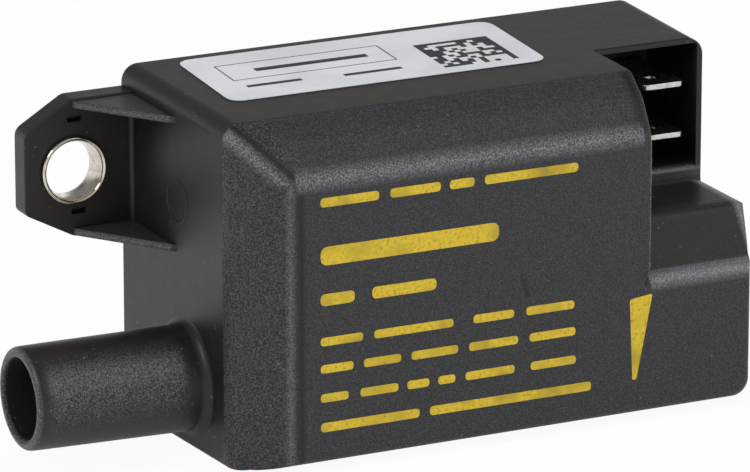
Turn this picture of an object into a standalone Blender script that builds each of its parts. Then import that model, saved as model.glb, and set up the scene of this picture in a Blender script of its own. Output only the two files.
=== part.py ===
"""Ignition transformer: moulded housing with a tubular high-voltage socket, mains tabs and a fixing lug.

Frame: +X runs along the length towards the mains tabs, -Y faces the printed front, +Z is up.
Lengths below are millimetres.  A point is written (x, u, z): x from the left end of the body,
u the depth measured from the flat back towards the front, z the height above the underside.
"""
import math

import bmesh
import bpy
from mathutils import Vector

for old in list(bpy.data.objects):
    bpy.data.objects.remove(old, do_unlink=True)

MM = 0.001
GAP = 0.3                       # free play between neighbouring pieces

# Moulded body: its length follows the pulse coil that it holds
COIL_LENGTH = 46.0
COIL_END_ROOM = 30.7            # walls, bay and air beside the coil
BODY_LENGTH = COIL_LENGTH + COIL_END_ROOM
BODY_HEIGHT = 47.4
BODY_DEPTH = 35.95
DRAFT = 0.0219                  # side inset per millimetre of depth
RIGHT_DRAFT = 0.0195
WALL = 1.8
TOP_LEFT_RADIUS = 2.3
TOP_RIGHT_RADIUS = 2.45
BOTTOM_RIGHT_RADIUS = 2.5
BOTTOM_LEFT_RADIUS = 0.5
SHOULDER_DEPTH = 29.7           # where the sides start to turn towards the front face
FRONT_INSET = 8.2               # top and left inset of the front face
CORNER_FOOT_DEPTH = 32.7        # square foot under the bevelled left corner
CORNER_FOOT_HEIGHT = 8.0
CORNER_FOOT_RADIUS = 1.9

# Mains connector bay in the upper right corner
BAY_SPAN = 16.95                # from the wall of the notch to the right end
BAY_OPENING_DEPTH = 20.0
BAY_FLOOR_DEPTH = 6.5
BAY_WALL = 0.95
BAY_ROOF = 0.95
BAY_SILL_DROP = 18.15           # sill below the top of the body
BLOCK_DROP = 20.1               # flat top of the lower right block below the top of the body
BLOCK_FACE_TOP_DEPTH = 32.6
BLOCK_FACE_HEIGHT = 7.05        # steep face of the block down to its ledge
BLOCK_EDGE_WIDTH = 2.1          # softened right edge of the block, running out at the ledge
BLOCK_EDGE_FALL = 0.55

# Mains tabs
TAB_WIDTH = 6.3
TAB_THICKNESS = 0.8
TAB_TIP_DEPTH = 19.5
TAB_LENGTH = 17.3
TAB_END_ROOM = 2.7              # from the tabs to the right end of the body
TAB_DROP_SHARE = 0.14346        # upper tab below the top of the body, of the body's height
TAB_PITCH_SHARE = 0.14873
TAB_TIP_RADIUS = 1.0

# High-voltage socket
TUBE_LENGTH = 23.5
TUBE_RADIUS = 6.85
TUBE_DRAFT = 0.0085
TUBE_BORE_RADIUS = 5.4
TUBE_AXIS_DEPTH = 19.1
TUBE_AXIS_HEIGHT = 9.8
TUBE_RISE = 0.017               # the socket tips up towards its mouth
TUBE_FILLET = 1.35
PIN_RADIUS = 1.5
PIN_REACH = 11.5
PIN_STEM_RADIUS = 0.8

# Fixing lug
LUG_THICKNESS = 3.4
LUG_REACH = 15.45
LUG_CENTRE_DROP = 12.47         # eyelet axis below the top of the body
LUG_RISE = 9.72                 # upper and lower edges from the eyelet axis
LUG_FALL = 9.08
LUG_SHOULDER_REACH = 8.75
GUSSET_THICKNESS = 1.0
GUSSET_DEPTH = 16.3
EYELET_REACH = 8.6
EYELET_RADIUS = 4.15
EYELET_BORE_RADIUS = 3.72
EYELET_FLANGE_RADIUS = 4.6
EYELET_LEAN = 0.065             # the bush sits slightly out of square

# Label on the top face
LABEL_LEFT = 7.0
LABEL_LENGTH = 46.2
LABEL_BACK = 1.9
LABEL_DEPTH = 19.6
LABEL_SKEW = 1.0
LABEL_CORNER = 2.0
LABEL_THICKNESS = 0.1
LABEL_LIFT = 0.06

# Pulse coil
COIL_AXIS_DEPTH = 16.6
COIL_FLOOR = 4.0                # height of the lowest point of the coil former
COIL_LEFT = 7.5
FLANGE_SHARE = 0.242616         # radius of the former's rims, of the body's height
HUB_SHARE = 0.626               # of the rims' radius, as the next three
HUB_BORE_SHARE = 0.5217
PRIMARY_HUB_SHARE = 0.3913
ROD_SHARE = 0.3043
CHAMBERS = 5

# Circuit board above the coil
BOARD_RISE = 1.4                # above the rims of the coil former
BOARD_THICKNESS = 1.6
BOARD_LEFT = 5.5
BOARD_OVERHANG = 4.5            # board longer than the coil
BOARD_BACK = 7.0
BOARD_WIDTH = 20.5
BOARD_ROOM = 4.2                # roof of the housing and air above the tallest component

LEAD_RADIUS = 0.55
FINE_LEAD_RADIUS = 0.35

# Derived values
BAY_LEFT = BODY_LENGTH - BAY_SPAN
TAB_RIGHT = BODY_LENGTH - TAB_END_ROOM
TAB_DROP = BODY_HEIGHT * TAB_DROP_SHARE
TAB_PITCH = BODY_HEIGHT * TAB_PITCH_SHARE
FLANGE_RADIUS = BODY_HEIGHT * FLANGE_SHARE
COIL_AXIS_HEIGHT = COIL_FLOOR + FLANGE_RADIUS
HUB_RADIUS = FLANGE_RADIUS * HUB_SHARE
HUB_BORE_RADIUS = FLANGE_RADIUS * HUB_BORE_SHARE
ROD_RADIUS = FLANGE_RADIUS * ROD_SHARE
PRIMARY_HUB_RADIUS = FLANGE_RADIUS * PRIMARY_HUB_SHARE
BOARD_LENGTH = COIL_LENGTH + BOARD_OVERHANG
EXIT_DEPTH, EXIT_DROP = FLANGE_RADIUS * 0.348, FLANGE_RADIUS * 0.748
RETURN_DEPTH, RETURN_RISE = FLANGE_RADIUS * 0.4, FLANGE_RADIUS * 0.696
PRIMARY_EXITS = ((-0.27, 0.296), (0.104, 0.4))      # depth and height, of the rims' radius
BAY_SILL_HEIGHT = BODY_HEIGHT - BAY_SILL_DROP
BLOCK_HEIGHT = BODY_HEIGHT - BLOCK_DROP
BLOCK_LEDGE_HEIGHT = BLOCK_HEIGHT - BLOCK_FACE_HEIGHT
TAB_UPPER_HEIGHT = BODY_HEIGHT - TAB_DROP
LUG_HEIGHT = BODY_HEIGHT - LUG_CENTRE_DROP
BOARD_BASE = COIL_AXIS_HEIGHT + FLANGE_RADIUS + BOARD_RISE
CAVITY_LEFT = WALL + 0.6
CAVITY_RIGHT = BODY_LENGTH - WALL - 0.7
CAVITY_LOW = WALL + 0.7
CAVITY_HIGH = BODY_HEIGHT - WALL - 0.7
CAVITY_DEPTH = SHOULDER_DEPTH - 1.2
CAVITY_NOTCH = BAY_LEFT - WALL
CAVITY_FRONT_LEFT = FRONT_INSET + 2.3
CAVITY_FRONT_LOW = CAVITY_LOW + 1.0
CAVITY_FRONT_HIGH = BODY_HEIGHT - FRONT_INSET - 2.6
CAVITY_FRONT_DEPTH = BODY_DEPTH - WALL
CAVITY_BLOCK_DEPTH = BLOCK_FACE_TOP_DEPTH - 1.6
CAVITY_BLOCK_HIGH = BLOCK_HEIGHT - WALL
CAVITY_BAY_DEPTH = BAY_FLOOR_DEPTH - WALL
CAVITY_LAP = 1.0
X_MIDDLE = (BODY_LENGTH - TUBE_LENGTH) / 2.0
SOCKET_SEGMENTS = 48
END_FACE_AT_TUBE = DRAFT * TUBE_AXIS_DEPTH
COIL_RIGHT = COIL_LEFT + COIL_LENGTH
TAB_LOWER_HEIGHT = TAB_UPPER_HEIGHT - TAB_PITCH
TAB_LEFT = TAB_RIGHT - TAB_WIDTH
TAB_REAR_DEPTH = TAB_TIP_DEPTH - TAB_LENGTH
BOARD_TOP = BOARD_BASE + BOARD_THICKNESS
BOARD_RIGHT = BOARD_LEFT + BOARD_LENGTH


def place(x, u, z):
    """Converts a part point in millimetres to a world point in metres."""
    return Vector(((x - X_MIDDLE) * MM, (BODY_DEPTH / 2.0 - u) * MM, z * MM))


def material(name, colour, metallic=0.0, roughness=0.5):
    """Principled material with one colour."""
    mat = bpy.data.materials.new(name)
    mat.use_nodes = True
    shader = mat.node_tree.nodes["Principled BSDF"]
    shader.inputs["Base Color"].default_value = (*colour, 1.0)
    shader.inputs["Metallic"].default_value = metallic
    shader.inputs["Roughness"].default_value = roughness
    mat.diffuse_color = (*colour, 1.0)
    return mat


def solid(name, points, faces):
    """Object from part points and faces, with its faces turned outwards."""
    mesh = bpy.data.meshes.new(name)
    mesh.from_pydata([place(*p) for p in points], [], faces)
    bm = bmesh.new()
    bm.from_mesh(mesh)
    bmesh.ops.recalc_face_normals(bm, faces=bm.faces)
    bm.to_mesh(mesh)
    bm.free()
    obj = bpy.data.objects.new(name, mesh)
    bpy.context.collection.objects.link(obj)
    return obj


def loft(name, rings):
    """Solid through rings that all have the same number of points."""
    count = len(rings[0])
    points = [p for ring in rings for p in ring]
    faces = [tuple(range(count)), tuple(range(len(points) - count, len(points)))]
    for i in range(len(rings) - 1):
        for j in range(count):
            k = (j + 1) % count
            faces.append((i * count + j, i * count + k, (i + 1) * count + k, (i + 1) * count + j))
    return solid(name, points, faces)


def block(name, x0, x1, u0, u1, z0, z1):
    """Rectangular solid."""
    return loft(name, [[(x0, u, z0), (x1, u, z0), (x1, u, z1), (x0, u, z1)] for u in (u0, u1)])


def prism_u(name, outline, u0, u1):
    """Outline in (x, z) drawn out along the depth."""
    return loft(name, [[(x, u, z) for x, z in outline] for u in (u0, u1)])


def prism_x(name, outline, x0, x1):
    """Outline in (u, z) drawn out along the length."""
    return loft(name, [[(x, u, z) for u, z in outline] for x in (x0, x1)])


def prism_z(name, outline, z0, z1):
    """Outline in (x, u) drawn out along the height."""
    return loft(name, [[(x, u, z) for x, u in outline] for z in (z0, z1)])


def turned_x(name, profile, u, z, segments=32):
    """Closed (x, radius) profile turned about an axis along the length."""
    rings = []
    for i in range(segments):
        a = 2.0 * math.pi * i / segments
        rings.append([(x, u + r * math.cos(a), z + r * math.sin(a)) for x, r in profile])
    return closed_sweep(name, rings)


def turned_u(name, profile, x, z, segments=32):
    """Closed (u, radius) profile turned about an axis along the depth."""
    rings = []
    for i in range(segments):
        a = 2.0 * math.pi * i / segments
        rings.append([(x + r * math.cos(a), u, z + r * math.sin(a)) for u, r in profile])
    return closed_sweep(name, rings)


def closed_sweep(name, rings):
    """Ring-shaped solid: the last ring joins the first one."""
    count = len(rings[0])
    total = len(rings)
    points = [p for ring in rings for p in ring]
    faces = []
    for i in range(total):
        n = (i + 1) % total
        for j in range(count):
            k = (j + 1) % count
            faces.append((i * count + j, i * count + k, n * count + k, n * count + j))
    return solid(name, points, faces)


def rod_x(name, x0, x1, u, z, radius, segments=32):
    """Cylinder along the length."""
    rings = []
    for x in (x0, x1):
        rings.append([(x, u + radius * math.cos(2 * math.pi * i / segments),
                       z + radius * math.sin(2 * math.pi * i / segments)) for i in range(segments)])
    return loft(name, rings)


def rod_u(name, u0, u1, x, z, radius, segments=32):
    """Cylinder along the depth."""
    rings = []
    for u in (u0, u1):
        rings.append([(x + radius * math.cos(2 * math.pi * i / segments), u,
                       z + radius * math.sin(2 * math.pi * i / segments)) for i in range(segments)])
    return loft(name, rings)


def stepped_rod_x(name, profile, u, z, segments=24):
    """Solid turned from open (x, radius) steps, closed by flat ends."""
    rings = []
    for x, r in profile:
        rings.append([(x, u + r * math.cos(2 * math.pi * i / segments),
                       z + r * math.sin(2 * math.pi * i / segments)) for i in range(segments)])
    return loft(name, rings)


def wire(name, path, radius, sides=10):
    """Round wire along a path of part points, with mitred bends."""
    pts = [Vector(p) for p in path]
    first = (pts[1] - pts[0]).normalized()
    helper = Vector((0, 0, 1)) if abs(first.z) < 0.9 else Vector((1, 0, 0))
    side = first.cross(helper).normalized()
    rings = []
    for i, p in enumerate(pts):
        ahead = (pts[min(i + 1, len(pts) - 1)] - pts[max(i,
                                                         0)]) if i < len(pts) - 1 else pts[i] - pts[i - 1]
        behind = (pts[i] - pts[i - 1]) if i > 0 else ahead
        ahead, behind = ahead.normalized(), behind.normalized()
        if i > 0:
            turn = behind.rotation_difference(ahead)
        up = behind.cross(side).normalized()
        plane = (ahead + behind).normalized()
        ring = []
        for s in range(sides):
            a = 2.0 * math.pi * s / sides
            off = side * (radius * math.cos(a)) + up * (radius * math.sin(a))
            off -= behind * (off.dot(plane) / behind.dot(plane))
            ring.append(tuple(p + off))
        rings.append(ring)
        if i > 0:
            side = (turn @ side).normalized()
    return loft(name, rings)


def combine(target, other, operation):
    """Adds or removes one solid from another and keeps the result as plain mesh."""
    modifier = target.modifiers.new(operation.lower(), "BOOLEAN")
    modifier.operation = operation
    modifier.solver = "EXACT"
    modifier.object = other
    depsgraph = bpy.context.evaluated_depsgraph_get()
    result = bpy.data.meshes.new_from_object(target.evaluated_get(depsgraph))
    target.modifiers.clear()
    target.data = result
    bpy.data.objects.remove(other, do_unlink=True)
    return target


def tidy(obj, smooth_angle=None):
    """Welds coincident points, melts flat seams and faces the mesh outwards."""
    bm = bmesh.new()
    bm.from_mesh(obj.data)
    bmesh.ops.remove_doubles(bm, verts=bm.verts, dist=0.000004)
    bmesh.ops.dissolve_degenerate(bm, edges=bm.edges, dist=0.000004)
    bmesh.ops.recalc_face_normals(bm, faces=bm.faces)
    bm.to_mesh(obj.data)
    bm.free()
    if smooth_angle is not None:
        obj.data.polygons.foreach_set("use_smooth", [True] * len(obj.data.polygons))
        obj.data.set_sharp_from_angle(angle=math.radians(smooth_angle))
    return obj


def finish(obj, mat, smooth_angle=35.0):
    """Last step of every piece: tidy mesh, shading and its own material."""
    tidy(obj, smooth_angle)
    obj.data.materials.clear()
    obj.data.materials.append(mat)
    return obj


def rounded_section(u, x0, x1, z0, z1, radii, steps=5):
    """Ring at depth u: rectangle with its corner radii, top right, top left, bottom left, bottom right."""
    corners = ((x1, z1, -1, -1, 0), (x0, z1, 1, -1, 90), (x0, z0, 1, 1, 180), (x1, z0, -1, 1, 270))
    ring = []
    for (cx, cz, sx, sz, start), r in zip(corners, radii):
        for i in range(steps + 1):
            a = math.radians(start + 90.0 * i / steps)
            ring.append((cx + sx * r + r * math.cos(a), u, cz + sz * r + r * math.sin(a)))
    return ring


def top_height(u):
    """Height of the drafted top face at depth u."""
    return BODY_HEIGHT - DRAFT * u


def right_end(u):
    """Position of the drafted right end at depth u."""
    return BODY_LENGTH - RIGHT_DRAFT * u


def build_outer_shell():
    """Body loft: drafted box whose top and left sides roll over towards the smaller front face."""
    run = BODY_DEPTH - SHOULDER_DEPTH
    # (share of the roll-over depth, share of the top/left inset, inset of right and bottom, corner factor)
    rows = ((0.0, 0.0, 0.0, 1.0), (0.24, 0.073, 0.0, 1.0), (0.464, 0.195, 0.0, 0.95),
            (0.592, 0.28, 0.12, 0.9),
            (0.70, 0.40, 0.3, 0.8), (0.80, 0.536, 0.5, 0.7), (0.896, 0.707, 0.7, 0.6),
            (0.955, 0.842, 0.9, 0.55),
            (0.985, 0.94, 1.12, 0.5), (1.0, 1.03, 1.5, 0.45))
    radii = (TOP_RIGHT_RADIUS, TOP_LEFT_RADIUS, BOTTOM_LEFT_RADIUS, BOTTOM_RIGHT_RADIUS)
    rings = []
    for u in (0.0, SHOULDER_DEPTH * 0.5):
        d = DRAFT * u
        rings.append(rounded_section(u, d, right_end(u), d, top_height(u), radii))
    for share, inset, small, factor in rows:
        u = SHOULDER_DEPTH + share * run
        d = DRAFT * u
        others = 1.0 - 0.2 * (1.0 - factor)
        near = tuple(max(r * (factor if n == 1 else others), 0.3) for n, r in enumerate(radii))
        rings.append(rounded_section(u, d + inset * FRONT_INSET, right_end(u) - small, d + small,
                                     top_height(u) - inset * FRONT_INSET, near))
    return loft("housing", rings)


def socket_ring(x, radius, lean=0.0):
    """Ring of the socket tube around its rising axis, leaning with the drafted end face where asked."""
    ring = []
    for i in range(SOCKET_SEGMENTS):
        a = 2.0 * math.pi * i / SOCKET_SEGMENTS
        ring.append((x + lean * radius * math.cos(a), TUBE_AXIS_DEPTH + radius * math.cos(a),
                     TUBE_AXIS_HEIGHT - TUBE_RISE * x + radius * math.sin(a)))
    return ring


def build_housing():
    """One moulding: body, notch, connector bay, socket tube, lug with its gussets, potting cavity."""
    housing = build_outer_shell()

    # the bevelled left corner grows square towards the underside
    rings = []
    for i in range(9):
        share = i / 8.0
        blend = share * share * (3.0 - 2.0 * share)
        z = DRAFT * CORNER_FOOT_DEPTH + share * CORNER_FOOT_HEIGHT
        depth = CORNER_FOOT_DEPTH - (CORNER_FOOT_DEPTH - SHOULDER_DEPTH - 0.6) * blend
        near, round_off = DRAFT * depth, CORNER_FOOT_RADIUS * (1.0 + 2.2 * blend)
        ring = [(near, 14.0, z)]
        for j in range(7):
            a = math.radians(180.0 - 90.0 * j / 6)
            ring.append((near + round_off + round_off * math.cos(a),
                         depth - round_off + round_off * math.sin(a), z))
        ring += [(near + 9.0, depth, z), (near + 9.0, 14.0, z)]
        rings.append(ring)
    combine(housing, loft("foot", rings), "UNION")

    # notch above the lower right block, with the steep face and the ledge of the block
    beyond = BODY_DEPTH + 6.0
    side = BLOCK_FACE_TOP_DEPTH
    ledge = BLOCK_LEDGE_HEIGHT
    profile = [(BAY_OPENING_DEPTH, BLOCK_HEIGHT), (side - 1.5, BLOCK_HEIGHT),
               (side - 0.75, BLOCK_HEIGHT - 0.12),
               (side - 0.2, BLOCK_HEIGHT - 0.5), (side + 0.12, BLOCK_HEIGHT - 1.3),
               (BODY_DEPTH - 1.9, ledge + 0.15),
               (BODY_DEPTH - 1.6, ledge - 0.05), (BODY_DEPTH - 1.1, ledge - 0.35),
               (BODY_DEPTH - 0.55, ledge - 0.85),
               (BODY_DEPTH - 0.2, ledge - 1.45), (BODY_DEPTH, ledge - 2.2),
               (beyond, ledge - 2.2), (beyond, BODY_HEIGHT + 6.0), (BAY_OPENING_DEPTH, BODY_HEIGHT + 6.0)]
    rings = []
    for x_near, x_far in ((BAY_LEFT, BAY_LEFT + 0.4), (BODY_LENGTH + 6.0, BODY_LENGTH + 6.0)):
        lean = (x_far - x_near) / (BODY_DEPTH - BAY_OPENING_DEPTH)
        rings.append([(x_near + lean * (u - BAY_OPENING_DEPTH), u, z) for u, z in profile])
    combine(housing, loft("notch", rings), "DIFFERENCE")

    # softened right edge of the lower block: even along its top, running out down its steep face
    right = right_end(BAY_OPENING_DEPTH)
    bow = [(0.0, 0.0), (0.35, 0.06), (0.7, 0.3), (1.0, 1.0)]
    outline = [(right + 3.0, BLOCK_HEIGHT + 1.0), (right - BLOCK_EDGE_WIDTH - 1.0, BLOCK_HEIGHT + 1.0)]
    outline += [(right - BLOCK_EDGE_WIDTH * (1.0 - share), BLOCK_HEIGHT + 0.01 - BLOCK_EDGE_FALL * fall)
                for share, fall in bow]
    outline.append((right + 3.0, BLOCK_HEIGHT - 1.5 * BLOCK_EDGE_FALL))
    combine(housing, prism_u("edge", outline, BAY_OPENING_DEPTH + 0.05, side + 0.6), "DIFFERENCE")
    rings = []
    lean = (BODY_DEPTH - 1.9 - side - 0.12) / (BLOCK_FACE_HEIGHT - 1.45)
    for z, depth, size in ((ledge + 0.15, BODY_DEPTH - 1.9, 0.04),
                           (BLOCK_HEIGHT + 1.0, side + 0.12 - lean * 2.3, 1.15)):
        end = right_end(depth) - 0.35
        width, fall_depth = BLOCK_EDGE_WIDTH * size, BLOCK_EDGE_FALL * size
        ring = [(end + 3.0, depth + 1.0, z), (end - width - 0.6, depth + 1.0, z)]
        ring += [(end - width * (1.0 - share), depth + 0.01 - fall_depth * fall, z) for share, fall in bow]
        ring.append((end + 3.0, depth - 1.5 * fall_depth, z))
        rings.append(ring)
    combine(housing, loft("corner", rings), "DIFFERENCE")

    # the lower end of the notch runs out into the front face
    edge = BAY_LEFT + 0.36
    corners = [(edge + 0.1, BODY_DEPTH - 1.7, ledge + 0.2), (edge - 1.3, BODY_DEPTH + 0.4, ledge - 1.9),
               (edge + 0.1, BODY_DEPTH + 0.4, ledge + 1.6), (edge + 1.2, BODY_DEPTH + 0.6, ledge - 1.9)]
    combine(housing, solid("run_out", corners, [(0, 1, 2), (0, 2, 3), (0, 3, 1), (1, 3, 2)]), "DIFFERENCE")

    # connector bay with a softened mouth
    bay_right = right_end(BAY_OPENING_DEPTH) - BAY_WALL
    bay_roof = top_height(BAY_OPENING_DEPTH) - BAY_ROOF
    rings = []
    for u, drop, lift in ((BAY_FLOOR_DEPTH, 0.0, 0.0), (BAY_OPENING_DEPTH - 0.8, 0.0, 0.0),
                          (BAY_OPENING_DEPTH - 0.45, 0.08, 0.02), (BAY_OPENING_DEPTH - 0.15, 0.3, 0.1),
                          (BAY_OPENING_DEPTH + 0.1, 0.75, 0.25)):
        x0, x1, z0, z1 = BAY_LEFT + 1.0, bay_right, BAY_SILL_HEIGHT - drop, bay_roof + lift
        rings.append([(x0, u, z0), (x1, u, z0), (x1, u, z1), (x0, u, z1)])
    combine(housing, loft("bay", rings), "DIFFERENCE")
    top, front = top_height(BAY_OPENING_DEPTH), BAY_OPENING_DEPTH
    outline = [(front - 0.55, top + 0.012), (front - 0.3, top - 0.06), (front - 0.1, top - 0.2),
               (front + 0.01, top - 0.45),
               (front + 1.0, top - 0.45), (front + 1.0, top + 1.0), (front - 0.55, top + 1.0)]
    combine(housing, prism_x("roof_edge", outline, BAY_LEFT + 0.02, BODY_LENGTH + 2.0), "DIFFERENCE")

    # high-voltage socket tube with a concave root that follows the drafted end face
    tip = -TUBE_LENGTH
    root = TUBE_RADIUS + TUBE_DRAFT * TUBE_LENGTH
    rings = []
    fillet = [(END_FACE_AT_TUBE + 0.03 - TUBE_FILLET * (1.0 - math.sin(math.radians(15.0 * i))),
               root + TUBE_FILLET * (1.0 - math.cos(math.radians(15.0 * i))), DRAFT) for i in range(7)]
    for x, r, lean in [(tip, TUBE_RADIUS - 0.85, 0.0), (tip + 0.08, TUBE_RADIUS - 0.5, 0.0),
                       (tip + 0.28, TUBE_RADIUS - 0.22, 0.0), (tip + 0.6, TUBE_RADIUS - 0.05, 0.0),
                       (tip + 1.0, TUBE_RADIUS, 0.0)] + fillet + [(END_FACE_AT_TUBE + 1.0,
                                                                   root + TUBE_FILLET, DRAFT)]:
        rings.append(socket_ring(x, r, lean))
    combine(housing, loft("tube", rings), "UNION")

    # fixing lug and its two gussets
    inside = WALL * 0.6
    low, high = LUG_HEIGHT - LUG_FALL, LUG_HEIGHT + LUG_RISE
    outline = [(inside, high), (-LUG_SHOULDER_REACH, high), (-LUG_REACH + 1.45, high - 2.95),
               (-LUG_REACH + 0.15, high - 4.35), (-LUG_REACH, high - 4.75), (-LUG_REACH, low + 4.35),
               (-LUG_REACH + 0.1, low + 3.8), (-LUG_REACH + 0.45, low + 3.3),
               (-LUG_SHOULDER_REACH + 0.35, low),
               (inside, low)]
    combine(housing, prism_u("plate", outline, 0.0, LUG_THICKNESS), "UNION")
    end = DRAFT * GUSSET_DEPTH
    gussets = (low + 0.2, high - 0.25 - GUSSET_THICKNESS)
    for base in gussets:
        web = [(inside, LUG_THICKNESS - 0.8), (-LUG_SHOULDER_REACH + 0.05, LUG_THICKNESS - 0.8),
               (-LUG_SHOULDER_REACH + 0.05, LUG_THICKNESS + 0.05), (end, GUSSET_DEPTH),
               (inside, GUSSET_DEPTH)]
        combine(housing, prism_z("gusset", web, base, base + GUSSET_THICKNESS), "UNION")
    root = 0.5
    corner = [(inside, LUG_THICKNESS - 0.5), (-root, LUG_THICKNESS - 0.5)]
    for i in range(6):
        a = math.radians(90.0 * i / 5)
        corner.append((-root + root * math.sin(a) + DRAFT * LUG_THICKNESS,
                       LUG_THICKNESS + root - root * math.cos(a) + 0.01))
    corner.append((inside, LUG_THICKNESS + root + 0.01))
    combine(housing, prism_z("lug_root", corner, gussets[0] + 0.5, gussets[1] + 0.5), "UNION")
    combine(housing, rod_u("eyelet_hole", -2.0, LUG_THICKNESS + 2.0, -EYELET_REACH, LUG_HEIGHT,
                           EYELET_RADIUS + GAP, 40), "DIFFERENCE")
    for x, height in ((-8.25, gussets[1] - 1.5), (-7.8, gussets[0] + GUSSET_THICKNESS + 2.3)):
        combine(housing, block("pocket", x - 1.25, x + 1.25, LUG_THICKNESS - 1.6, LUG_THICKNESS + 1.0,
                               height - 0.45, height + 0.45), "DIFFERENCE")

    # potting cavity, open at the back
    for name, limits in (
            ("main", (CAVITY_LEFT, CAVITY_NOTCH, -2.0, CAVITY_DEPTH, CAVITY_LOW, CAVITY_HIGH)),
            ("front", (CAVITY_FRONT_LEFT, CAVITY_NOTCH, CAVITY_DEPTH - CAVITY_LAP, CAVITY_FRONT_DEPTH,
                       CAVITY_FRONT_LOW, CAVITY_FRONT_HIGH)),
            ("block", (CAVITY_NOTCH - CAVITY_LAP, CAVITY_RIGHT, -2.0, CAVITY_BLOCK_DEPTH, CAVITY_LOW,
                       CAVITY_BLOCK_HIGH)),
            ("bay", (CAVITY_NOTCH - CAVITY_LAP, CAVITY_RIGHT, -2.0, CAVITY_BAY_DEPTH,
                     CAVITY_BLOCK_HIGH - CAVITY_LAP, CAVITY_HIGH))):
        combine(housing, block(name, *limits), "DIFFERENCE")

    # bore of the socket, passage of the contact, slots of the tabs
    combine(housing, loft("bore", [socket_ring(-TUBE_LENGTH - 2.0, TUBE_BORE_RADIUS),
                                   socket_ring(END_FACE_AT_TUBE + 0.1, TUBE_BORE_RADIUS)]), "DIFFERENCE")
    combine(housing, rod_x("passage", -2.0, WALL + 3.0, TUBE_AXIS_DEPTH, TUBE_AXIS_HEIGHT,
                           PIN_STEM_RADIUS + GAP, 20), "DIFFERENCE")
    for height in (TAB_UPPER_HEIGHT, TAB_LOWER_HEIGHT):
        combine(housing, block("slot", TAB_LEFT - GAP, TAB_RIGHT + GAP, BAY_FLOOR_DEPTH - WALL - 1.0,
                               BAY_FLOOR_DEPTH + 1.0, height - TAB_THICKNESS / 2 - GAP,
                               height + TAB_THICKNESS / 2 + GAP), "DIFFERENCE")
    return finish(housing, material("black_moulding", (0.03, 0.03, 0.032), roughness=0.45), 28.0)


def build_eyelet():
    """Pressed metal bush through the lug, with a rolled rim at the front."""
    seat, bore, rim = LUG_THICKNESS + GAP, EYELET_BORE_RADIUS, EYELET_FLANGE_RADIUS
    profile = [(0.05, bore + 0.12), (0.05, EYELET_RADIUS), (seat, EYELET_RADIUS), (seat, rim - 0.08),
               (seat + 0.1, rim), (seat + 0.26, rim - 0.03), (seat + 0.4, rim - 0.14),
               (seat + 0.46, rim - 0.3),
               (seat + 0.42, rim - 0.46), (seat + 0.3, rim - 0.58), (seat + 0.05, bore + 0.2),
               (seat - 0.4, bore + 0.1), (seat - 1.1, bore + 0.02), (seat - 1.6, bore), (0.3, bore)]
    obj = turned_u("mounting_eyelet", profile, -EYELET_REACH, LUG_HEIGHT, 48)
    for vertex in obj.data.vertices:
        depth = BODY_DEPTH / 2.0 - vertex.co.y / MM
        vertex.co.z += EYELET_LEAN * (depth - seat / 2.0) * MM
    return finish(obj, material("nickel_plated_bush", (0.6, 0.59, 0.57), 1.0, 0.25))


def build_tab(name, height):
    """Flat mains tab with a bevelled tip and a locking hole."""
    z0, z1 = height - TAB_THICKNESS / 2, height + TAB_THICKNESS / 2
    outline = [(TAB_RIGHT, TAB_REAR_DEPTH), (TAB_LEFT, TAB_REAR_DEPTH)]
    r = TAB_TIP_RADIUS
    for cx, start in ((TAB_LEFT + r, 180.0), (TAB_RIGHT - r, 90.0)):
        for i in range(6):
            a = math.radians(start - 18.0 * i)
            outline.append((cx + r * math.cos(a), TAB_TIP_DEPTH - r + r * math.sin(a)))
    soft = 0.12
    rings = []
    for z, inset in ((z0, soft), (z0 + soft, 0.0), (z1 - soft, 0.0), (z1, soft)):
        middle, spread = (TAB_LEFT + TAB_RIGHT) / 2, 1.0 - 2.0 * inset / TAB_WIDTH
        rings.append([(middle + (x - middle) * spread, u - inset * (u > TAB_REAR_DEPTH + 1.0), z)
                      for x, u in outline])
    obj = loft(name, rings)
    middle = (TAB_LEFT + TAB_RIGHT) / 2
    ring = [(middle + 0.85 * math.cos(2 * math.pi * i / 20),
             TAB_TIP_DEPTH - 4.0 + 0.85 * math.sin(2 * math.pi * i / 20))
            for i in range(20)]
    combine(obj, prism_z("hole", ring, z0 - 1.0, z1 + 1.0), "DIFFERENCE")
    return finish(obj, material(name + "_tin", (0.72, 0.72, 0.7), 1.0, 0.3))


def build_label():
    """Self-adhesive label with rounded corners on the sloping top face."""
    r = LABEL_CORNER
    outline = []
    x0, x1 = LABEL_LEFT, LABEL_LEFT + LABEL_LENGTH
    u0, u1 = LABEL_BACK, LABEL_BACK + LABEL_DEPTH
    for cx, cu, start in ((x1 - r, u1 - r, 0), (x0 + r, u1 - r, 90), (x0 + r, u0 + r, 180),
                          (x1 - r, u0 + r, 270)):
        for i in range(6):
            a = math.radians(start + 18.0 * i)
            u = cu + r * math.sin(a)
            outline.append((cx + r * math.cos(a) - LABEL_SKEW * (u - u0) / LABEL_DEPTH, u))
    rings = [[(x, u, top_height(u) + lift) for x, u in outline] for lift in (LABEL_LIFT,
                                                                             LABEL_LIFT + LABEL_THICKNESS)]
    return finish(loft("rating_label", rings), material("label_film", (0.66, 0.67, 0.69), roughness=0.4))


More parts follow.
